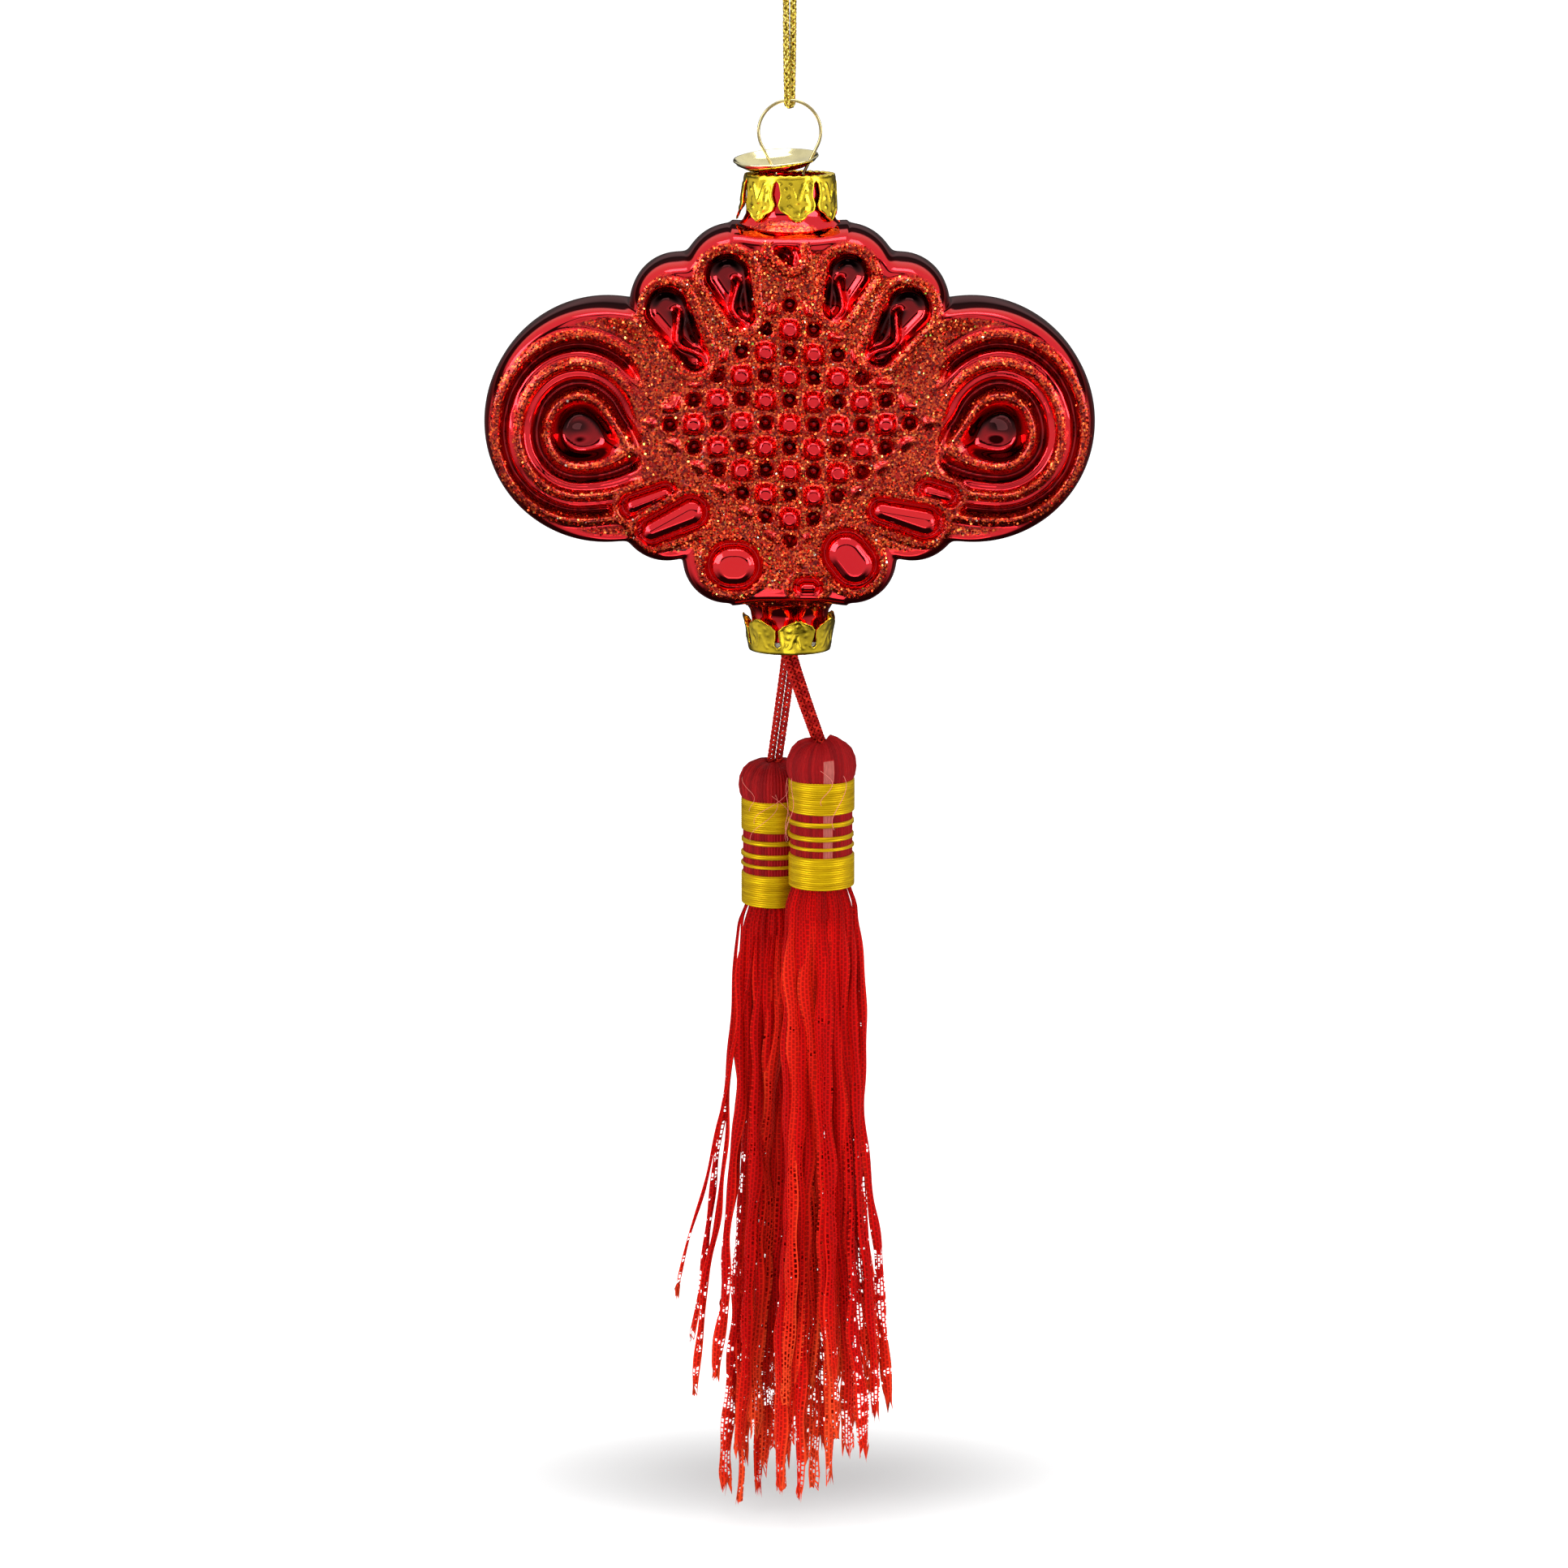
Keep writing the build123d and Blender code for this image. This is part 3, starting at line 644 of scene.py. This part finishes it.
# stations of radius and height, from the rolled rim to the middle
dish_profile = [
    (6.85, -0.05), (6.8, 0.18), (6.6, 0.1), (6.2, -0.45), (4.8, -1.2), (3.0, -1.55), (1.0, -1.65),
    (0.02, -1.65),
]
dish_middle = (-2.2, 0.4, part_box("cap_dish")[1].z / MM - 0.35)
tipped_front = Matrix.Rotation(math.radians(7), 3, "X")
tipped_left = Matrix.Rotation(math.radians(-4), 3, "Y")
dish_bm = bmesh.new()
add_lathe(dish_bm, dish_profile, 72)
bmesh.ops.recalc_face_normals(dish_bm, faces=dish_bm.faces)
bmesh.ops.rotate(dish_bm, verts=dish_bm.verts, cent=(0, 0, 0), matrix=tipped_front @ tipped_left)
bmesh.ops.translate(dish_bm, verts=dish_bm.verts, vec=dish_middle)
dish = new_object("tipped_dish", dish_bm, rough_metal("pale_gold", (0.95, 0.84, 0.45), 0.14, 300, 0.05))
dish_skin = dish.modifiers.new("sheet", "SOLIDIFY")
dish_skin.thickness = 0.2 * MM
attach(dish, "cap")
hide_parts("cap_dish")

# ---------------------------------------------------------------- crowns
# Thin gold sheet pressed with a leaf pattern. Seven petals hang from the rim of the top
# crown, and seven stand round the bottom one. Each is a little bent in its own way.
gold_sheet = rough_metal("gold_sheet", (1.0, 0.72, 0.04), 0.24, 420, 0.16)
petal_count = 7
petal_turn = math.radians(9)
# studs pressed into each petal: places across it and down it
petal_studs = [(-0.5, 0.5), (0.5, 0.56), (-0.42, 0.7), (0.4, 0.73), (0.02, 0.85), (-0.62, 0.3), (0.6, 0.32)]


def crown(name, rim_level, way, skirt_r, flare, drop, lip_r, petal_shape, pressing, seed):
    """A crown whose petals run from its rim down (-1) or up (1), with a lip that turns in."""
    chance = random.Random(seed)
    across_count, down_count, lip_count = 28, 44, 8
    bm = bmesh.new()
    for k in range(petal_count):
        middle = petal_turn + math.tau * k / petal_count - math.pi / 2
        bend_out = chance.uniform(0, 0.35) + (0.9 if seed == 1 and k == 5 else 0)
        skew = chance.uniform(-0.25, 0.25)
        dents = [(chance.uniform(-0.8, 0.8), chance.uniform(0.15, 0.85), chance.uniform(-0.16, 0.1),
                  chance.uniform(0.08, 0.2)) for _ in range(9)]
        rows = []
        for j in range(-lip_count, down_count + 1):
            row = []
            for i in range(across_count + 1):
                u = 2 * i / across_count - 1
                if j < 0:
                    turn = -j / lip_count
                    radius = skirt_r - (skirt_r - lip_r) * turn
                    radius += 0.08 * math.sin(23 * (middle + u * 0.45)) * turn
                    level = 0.12 * math.sin(math.pi * turn) + 0.07 * math.sin(31 * (middle + u * 0.45))
                    angle = middle + u * math.pi / petal_count
                else:
                    s = j / down_count
                    half = float(waves(s, petal_shape)) * math.pi / petal_count * skirt_r
                    radius = skirt_r + (flare + bend_out) * s**1.5 - 0.12 * (1 - min(1, s / 0.06))
                    border = float(eased(abs(u), 0.78, 0.9)) + float(eased(s, 0.9, 0.97)) * (abs(u) < 0.78)
                    radius += 0.14 * pressing * border * float(eased(s, 0.1, 0.2))
                    fold = abs(abs(u) - 0.55 * (1 - s / 0.6)) if s < 0.6 else 1
                    radius += 0.17 * pressing * math.exp(-(fold / 0.08)**2) * float(eased(s, 0.12, 0.2))
                    for du, ds, size, spread in dents:
                        radius += size * math.exp(-((u - du)**2 + (s - ds)**2) / spread**2)
                    for du, ds in petal_studs:
                        away = (u - du)**2 + (1.7 * (s - ds))**2
                        radius += 0.15 * pressing * math.exp(-away / 0.008)
                    angle = middle + (u * half + skew * s**2) / skirt_r
                    level = -drop * s
                row.append(bm.verts.new((radius * math.cos(angle), radius * math.sin(angle),
                                         rim_level - way * level)))
            rows.append(row)
        for upper, lower in zip(rows, rows[1:]):
            for i in range(across_count):
                corners = (lower[i], lower[i + 1], upper[i + 1], upper[i])
                bm.faces.new(corners if way < 0 else corners[::-1])
    bmesh.ops.remove_doubles(bm, verts=bm.verts, dist=0.02)
    piece = new_object(name, bm, gold_sheet)
    skin = piece.modifiers.new("sheet", "SOLIDIFY")
    skin.thickness = 0.22 * MM
    skin.offset = -1
    return piece


# shapes of the petals: share of the way down, and share of the full width
crown_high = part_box("upper_crown")[1].z / MM
hanging_petal = [
    (0, 1.0), (0.1, 1.0), (0.16, 0.87), (0.4, 0.8), (0.64, 0.93), (0.73, 0.87), (0.87, 0.45), (1, 0.05),
]
upper_crown = crown("upper_crown_sheet", crown_high, -1, 7.35, 0.1, 7.1, 6.0, hanging_petal, 1.0, 1)
crown_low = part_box("lower_crown")[0].z / MM
standing_petal = [(0, 1.0), (0.18, 1.0), (0.26, 0.84), (0.55, 0.93), (0.7, 0.95), (0.8, 0.8), (1, 0.1)]
lower_crown = crown("lower_crown_sheet", crown_low, 1, 6.75, 0.7, 5.7, 2.4, standing_petal, 0.45, 2)
for piece, node, body in ((upper_crown, "upper_crown", "cap"), (lower_crown, "lower_crown", "glass")):
    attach(piece, body)
    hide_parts(node)

# ---------------------------------------------------------------- tassel heads
# Red yarn is gathered over a clear tube into a round head, and gold thread is wound over it:
# two wide bands with three thin stripes between them.
red_yarn, tree, shader = new_material("red_yarn", Roughness=0.6, Specular_IOR_Level=0.1)
yarn_colour = colour_ramp(tree, attribute(tree, "tint"), (0, (0.16, 0.0, 0.002)),
                          (0.45, (0.31, 0.001, 0.003)), (0.85, (0.42, 0.005, 0.006)),
                          (0.93, (0.5, 0.12, 0.1)))
along_fibres = add_node(tree, "Mapping", Vector=object_place(tree), Scale=(6000, 6000, 500))
fibre = noise(tree, along_fibres.outputs["Vector"], 1)
set_inputs(tree, shader, Base_Color=mix_colours(tree, 0.55, yarn_colour, fibre, "MULTIPLY"),
           Normal=bump(tree, fibre, 0.12, 0.7))

gold_thread, tree, shader = new_material("gold_thread", Metallic=0.6, Roughness=0.4, Specular_IOR_Level=0.1)
thread_colour = colour_ramp(tree, attribute(tree, "tint"), (0, (0.3, 0.16, 0.001)),
                            (0.3, (0.52, 0.31, 0.001)), (0.8, (0.68, 0.44, 0.003)))
round_thread = add_node(tree, "Mapping", Vector=object_place(tree), Scale=(300, 300, 7000))
set_inputs(tree, shader, Base_Color=thread_colour,
           Normal=bump(tree, noise(tree, round_thread.outputs["Vector"], 1), 0.06, 0.6))


def turned_skin(name, axis, levels, radius_at, tint_at, sides, material):
    """A closed skin round a tassel's axis. radius_at and tint_at give its radius and its
    shade at an angle, measured from the front to the right, and a level."""
    bm = bmesh.new()
    layer = bm.verts.layers.float.new("tint")
    rings = []
    for level in levels:
        ring = []
        for k in range(sides):
            angle = math.tau * k / sides
            radius = radius_at(angle, level)
            vert = bm.verts.new((axis.x + radius * math.sin(angle), axis.y - radius * math.cos(angle), level))
            vert[layer] = tint_at(angle, level)
            ring.append(vert)
        rings.append(ring)
    for high, low in zip(rings, rings[1:]):
        for k in range(sides):
            bm.faces.new((low[k], low[(k + 1) % sides], high[(k + 1) % sides], high[k]))
    bmesh.ops.recalc_face_normals(bm, faces=bm.faces)
    return new_object(name, bm, material)


def winding(name, axis, low, high, turns, seed):
    """A band of gold thread, wound in close turns one above the other."""
    chance = random.Random(seed)
    shades = [chance.uniform(0.25, 1) for _ in range(turns)]
    steps = turns * 6
    levels = [high - (high - low) * k / steps for k in range(steps + 1)]

    def radius_at(angle, level):
        turn = (high - level) / (high - low) * turns
        edge = min(level - low, high - level)
        sag = 0.05 * math.sin(angle + seed) + 0.03 * math.sin(3 * angle + 2 * seed)
        return 5.32 + 0.09 * abs(math.sin(math.pi * turn)) + sag - 0.25 * math.exp(-edge / 0.08)

    def tint_at(angle, level):
        turn = min(turns - 1, int((high - level) / (high - low) * turns))
        return shades[turn] * (0.8 + 0.2 * math.sin(5 * angle + 1.7 * turn + seed))

    return turned_skin(name, axis, levels, radius_at, tint_at, 120, gold_thread)


def head(name, axis, top, low, lean, core_angle, seed):
    """The gathered yarn: a round head, and the yarn that shows between the windings."""
    chance = random.Random(seed)
    yarns = 64
    shades = [chance.uniform(0.2, 0.85) for _ in range(yarns)]
    dome = [(-6.3, 5.15), (-5.6, 5.5), (-4.2, 5.72), (-2.8, 5.55), (-1.5, 4.95), (-0.6, 4.0), (-0.1, 2.9),
            (0.1, 1.8), (-0.5, 1.0)]
    profile = []
    for (z0, r0), (z1, r1) in zip(dome, dome[1:]):
        profile += [(z0 + (z1 - z0) * k / 4, r0 + (r1 - r0) * k / 4) for k in range(4)]
    profile.append(dome[-1])
    sleeve = [(low - top + (-6.3 - (low - top)) * k / 40, 4.98) for k in range(40)]
    stations = (sleeve + profile)[::-1]
    bm = bmesh.new()
    layer = bm.verts.layers.float.new("tint")
    sides = yarns * 5
    rings = []
    for drop, radius in stations:
        ring = []
        for k in range(sides):
            angle = math.tau * k / sides
            near_top = float(eased(drop, -4.5, 0))
            ridge = abs(math.sin(math.pi * k / 5)) * 0.12 * min(1, radius / 4)
            lump = near_top * (0.35 * math.sin(2 * angle + seed) + 0.22 * math.sin(5 * angle + 3 * seed))
            tuft = 0.9 * near_top * math.exp(-((angle - lean) / 0.5)**2) if radius > 1.5 else 0
            swell = 0.1 * math.sin(4 * angle + 2 * seed) if drop > -6.2 else 0
            r = radius + ridge + swell
            vert = bm.verts.new((axis.x + r * math.sin(angle), axis.y - r * math.cos(angle),
                                 top + drop + lump * 0.6 + tuft))
            away = abs((angle - core_angle + math.pi) % math.tau - math.pi)
            core_shows = away < 0.16 and drop < -2.2
            vert[layer] = 1.0 if core_shows else shades[k // 5] * (0.75 + 0.25 * chance.random())
            ring.append(vert)
        rings.append(ring)
    for high_ring, low_ring in zip(rings, rings[1:]):
        for k in range(sides):
            after = (k + 1) % sides
            bm.faces.new((low_ring[k], low_ring[after], high_ring[after], high_ring[k]))
    bmesh.ops.recalc_face_normals(bm, faces=bm.faces)
    return new_object(name, bm, red_yarn)


hair_material, tree, shader = new_material("stray_fibre", Roughness=0.5, Sheen_Weight=0.4)
hair_colour = colour_ramp(tree, noise(tree, share_of_box(tree), 400), (0, (0.6, 0.04, 0.02)),
                          (1, (0.8, 0.22, 0.16)))
set_inputs(tree, shader, Base_Color=hair_colour)


def stray_hairs(name, axis, top, count, seed):
    """Single fibres that have come loose from the yarn and curl over the windings."""
    chance = random.Random(seed)
    bm = bmesh.new()
    layer = bm.faces.layers.float.new("tint")
    for _ in range(count):
        angle, drop = chance.uniform(-1.2, 1.2), chance.uniform(-9, -1)
        swing, fall = chance.uniform(-0.9, 0.9), chance.uniform(5, 12)
        places = []
        for k in range(25):
            s = k / 24
            a = angle + swing * s + 0.25 * math.sin(5 * s + angle)
            radius = 5.6 + 0.5 * math.sin(math.pi * s) + 0.1 * math.sin(11 * s)
            places.append((axis.x + radius * math.sin(a), axis.y - radius * math.cos(a),
                           top + drop - fall * s))
        add_tube(bm, np.array(places), 0.04, 4, 0.95)
    return new_object(name, bm, hair_material)


# ---------------------------------------------------------------- skirts
# Each skirt is a bundle of narrow knitted strips, gathered under the thread and cut uneven.
# They open into a net where they are loose, and fray at their ends.
net, tree, shader = new_material("knitted_strip", Roughness=0.7, Specular_IOR_Level=0.06)
strip_place = add_node(tree, "UVMap", {"uv_map": "strip"}).outputs["UV"]
along_strip = add_node(tree, "Mapping", Vector=strip_place, Rotation=(0, 0, math.pi / 2)).outputs["Vector"]
stitch = add_node(tree, "TexBrick", {"offset": 0.5}, Vector=along_strip, Scale=1.0, Brick_Width=0.92,
                  Row_Height=0.62, Mortar_Size=0.155, Mortar_Smooth=0.2).outputs["Fac"]
# a strip is closed where it is knitted tight, and elsewhere only its yarn is solid
looseness = calculate(tree, "ADD", noise(tree, strip_place, 0.5), attribute(tree, "openness"))
closed = calculate(tree, "LESS_THAN", looseness, 0.68)
strip_colour = colour_ramp(tree, attribute(tree, "tint"), (0, (0.24, 0.0, 0.0)), (0.45, (0.5, 0.0005, 0.0)),
                           (0.75, (0.66, 0.014, 0.003)), (1, (0.74, 0.055, 0.012)))
stitch_shade = add_node(tree, "MapRange", Value=stitch, To_Min=0.55).outputs["Result"]
set_inputs(tree, shader, Base_Color=mix_colours(tree, 1.0, strip_colour, stitch_shade, "MULTIPLY"),
           Alpha=calculate(tree, "MAXIMUM", stitch, closed), Normal=bump(tree, stitch, 0.18, 0.9))


def skirt(name, axis, start_z, strips, depth_low, depth_high, seed):
    """A bundle of strips, each given by the x and z of its end and its width."""
    chance = random.Random(seed)
    bm = bmesh.new()
    uv_layer = bm.loops.layers.uv.new("strip")
    tint_layer = bm.verts.layers.float.new("tint")
    open_layer = bm.verts.layers.float.new("openness")
    fillers = [(end_x + chance.uniform(-1.2, 1.2), end_z + chance.uniform(3, 14),
                width * chance.uniform(0.7, 0.9))
               for end_x, end_z, width in strips[::3] if len(strips) > 1]
    ordered = sorted(strips + fillers, key=lambda strip: strip[0])
    for number, (end_x, end_z, width) in enumerate(ordered):
        share_x = (number + 0.5) / len(ordered) * 2 - 1
        front = -1 if number % 2 else 1
        start_angle = math.asin(max(-0.98, min(0.98, share_x)))
        start_y = -front * math.cos(start_angle)
        start = Vector((axis.x + 4.5 * math.sin(start_angle), axis.y + 4.5 * start_y, start_z))
        outward = Vector((math.sin(start_angle), start_y, 0))
        end_y = chance.uniform(depth_low, depth_high)
        length = start_z - end_z
        facing = math.atan2(outward.x, -outward.y)
        phases = [chance.uniform(0, math.tau) for _ in range(4)]
        sway = chance.uniform(0.15, 0.4)
        shade = chance.uniform(0.25, 0.62)
        loose_from = chance.uniform(0.25, 0.7)
        rows = []
        count = max(40, int(length / 0.9))
        for j in range(count + 1):
            t = j / count
            down = t * length
            gather = float(eased(down, 0, 18))
            swell = 1.2 * float(eased(down, 0, 5)) * (1 - float(eased(down, 8, 40)))
            wave_x = math.sin(0.16 * down + phases[0]) + 0.45 * math.sin(0.37 * down + phases[1])
            wave_x *= sway * gather
            wave_y = 0.5 * gather * math.sin(0.13 * down + phases[2])
            x = start.x + (end_x - start.x) * t**1.15 + wave_x + swell * outward.x
            y = start.y + (end_y - start.y) * t**0.8 + wave_y + swell * outward.y
            y = min(max(y, depth_low), depth_high) if down > 6 else y
            turn = facing * (1 - 0.7 * gather) + 0.5 * gather * math.sin(0.09 * down + phases[3])
            side = Vector((math.cos(turn), math.sin(turn), 0))
            normal = Vector((math.sin(turn), -math.cos(turn), 0))
            spread = 0.42 * width * (0.75 + 0.25 * gather) * (1 + 0.18 * math.sin(0.5 * down + phases[1]))
            fray = float(eased(t, 1 - 2.5 / length, 1))
            row = []
            for i in range(7):
                u = i / 3 - 1
                place = Vector((x, y, start_z - down)) + side * spread * u * (1 - 0.35 * fray) \
                    + normal * 0.28 * width * (0.5 - u * u)
                if fray > 0:
                    place.z += fray * (1.3 * math.sin(9 * u + phases[0]) - 0.4 * chance.random())
                    place.x += fray * 0.3 * math.sin(13 * u + phases[2])
                vert = bm.verts.new(place)
                edge = abs(u)**3
                tip = float(eased(t, 0.72, 1))
                # painted shade: the strips are darkened for their first 12 mm below the winding; they are
                # also made lighter towards their edges and their cut ends
                in_shade = 1 - float(eased(down, 0, 12))
                vert[tint_layer] = min(1, shade + 0.3 * edge + 0.35 * tip + 0.12 * fray - 0.3 * in_shade)
                vert[open_layer] = 0.15 * float(eased(t, loose_from, loose_from + 0.2)) \
                    - 0.35 * (1 - float(eased(down, 6, 22))) + 0.05 * math.sin(0.21 * down + phases[2])
                row.append(vert)
            rows.append(row)
        for j, (high, low) in enumerate(zip(rows, rows[1:])):
            for i in range(6):
                face = bm.faces.new((low[i], low[i + 1], high[i + 1], high[i]))
                for loop, (a, b) in zip(face.loops, ((i, j + 1), (i + 1, j + 1), (i + 1, j), (i, j))):
                    loop[uv_layer].uv = (a / 6 * width + 7.3 * number, b * length / count)
    return new_object(name, bm, net)


# the ends of the strips: x, z and width
left_strips = [
    (-16.4, -265.7, 1.5), (-12.6, -262.0, 2.2), (-11.0, -283.5, 2.6), (-9.0, -285.0, 1.9),
    (-7.7, -279.0, 2.8),
    (-9.6, -268.0, 2.8), (-6.0, -273.0, 3.0), (-4.4, -280.6, 3.0), (-2.6, -276.0, 2.8), (-1.4, -282.0, 2.4),
    (0.2, -272.0, 2.6), (-11.6, -252.0, 2.4), (-7.0, -262.0, 2.8), (-3.4, -266.0, 2.8), (1.6, -264.0, 2.4),
    (-5.2, -284.0, 2.2), (-8.4, -274.0, 2.6), (-0.6, -278.0, 2.4),
]
right_strips = [
    (-1.7, -279.0, 2.8), (0.0, -271.0, 2.8), (1.6, -280.0, 2.6), (3.4, -276.0, 2.8), (5.6, -273.0, 3.0),
    (4.4, -281.0, 2.2), (8.0, -270.0, 2.8), (10.3, -273.8, 3.0), (12.3, -272.3, 2.8), (14.7, -266.5, 1.8),
    (17.0, -265.0, 2.1), (6.6, -266.0, 2.8), (2.4, -268.0, 3.0), (9.2, -262.0, 2.8), (12.0, -258.0, 2.6),
    (13.6, -263.0, 2.4), (-0.6, -264.0, 2.8), (7.2, -277.0, 2.4), (10.8, -268.0, 2.6), (4.0, -262.0, 2.8),
]
band_turns = 15
stripes = ((0.85, 1.25), (0.85, 1.45), (0.6, 1.0))  # height of each, and the gap above it
# per tassel: strips, room in depth, lean of the tuft, where the core shows, and seed
sides = {
    "left": (left_strips, 0.25, 8.6, -0.9, math.radians(50), 11),
    "right": (right_strips, -8.6, -0.25, 0.9, math.radians(12), 12),
}
for side, (strips, depth_low, depth_high, lean, core_angle, seed) in sides.items():
    low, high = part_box(f"{side}_lower_wrap")
    axis = Vector(((low.x + high.x) / 2 / MM, (low.y + high.y) / 2 / MM, 0))
    wrap_low, wrap_high = low.z / MM, high.z / MM
    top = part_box(f"{side}_head_yarn")[1].z / MM
    upper_low, upper_high = (corner.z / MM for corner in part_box(f"{side}_upper_wrap"))
    pieces = [
        (head(f"{side}_yarn_head", axis, top, wrap_low, lean, core_angle, seed), ["head_yarn", "core_tube"],
         "red_yarn"),
        (winding(f"{side}_upper_winding", axis, upper_low, upper_high, band_turns, seed + 1), ["upper_wrap"],
         "gold_thread"),
        (winding(f"{side}_lower_winding", axis, wrap_low, wrap_high, band_turns, seed + 2), ["lower_wrap"],
         "gold_thread"),
        (skirt(f"{side}_skirt_strips", axis, wrap_low + 1.2, strips, depth_low, depth_high, seed), ["skirt"],
         "red_yarn"),
        (stray_hairs(f"{side}_stray_fibres", axis, top, 4, seed), [], "red_yarn"),
    ]
    level = upper_low
    for number, (height, gap) in enumerate(stripes):
        stripe = winding(f"{side}_stripe_{number + 1}", axis, level - gap - height, level - gap, 2,
                         seed + 3 + number)
        pieces.append((stripe, ["stripe_wraps"], "gold_thread"))
        level -= gap + height
    for piece, nodes_replaced, slot in pieces:
        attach(piece, f"{side}_tassel")
        for node in nodes_replaced:
            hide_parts(f"{side}_{node}")

# one thin strip has worked loose from the left skirt and hangs out to the side
stray = skirt("left_stray_strip", Vector((-6.2, 2.0, 0)), -188.0, [(-19.0, -247.0, 0.8)], 0.4, 2.0, 29)
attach(stray, "left_tassel")

# ---------------------------------------------------------------- tassel cords
# Two knitted cords hang side by side over the pin. Each runs from one tassel's knot up
# through the hole in the bottom crown, over the pin and down to the other.
cord_red, tree, shader = new_material("cord_red", Roughness=0.6, Specular_IOR_Level=0.1)
cord_colour = colour_ramp(tree, attribute(tree, "tint"), (0, (0.32, 0.001, 0.002)), (1, (0.62, 0.02, 0.01)))
set_inputs(tree, shader, Base_Color=cord_colour,
           Normal=bump(tree, noise(tree, share_of_box(tree), 5000), 0.06))


def middle_of(node):
    """The middle of a node's box, in millimetres."""
    low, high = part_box(node)
    return (low + high) / 2 / MM


pin_z = middle_of("toggle_pin").z
knots = {side: middle_of(f"{side}_cord_knot") for side in ("left", "right")}
for number, away in ((1, -1), (2, 1)):
    over_x = 0.65 * away
    left_end = knots["left"] + Vector((0.65 * away, 0, 2.2))
    right_end = knots["right"] + Vector((0.52 * away, -0.39 * away, 2.2))
    red_points = [
        left_end, (over_x, 1.1, pin_z - 2.6), (over_x, 1.1, pin_z), (over_x, 1.1, pin_z + 1.1),
        (over_x, -1.1, pin_z + 1.1), (over_x, -1.1, pin_z), (over_x, -1.1, pin_z - 2.6), right_end,
    ]
    red_line = smooth_route("red_route", [Vector(p) * MM for p in red_points])
    red_length = sum((b - a).length for a, b in zip(red_line, red_line[1:]))
    red_cord = braid(f"tassel_braid_{number}", red_line, 1.34, 3, 2.5, cord_red, 20 + number, 0.14)
    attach(red_cord, "tassel_cords")
    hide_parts(f"tassel_cord_{number}")
for side in ("left", "right"):
    finish_node(f"{side}_cord_knot", cord_red)
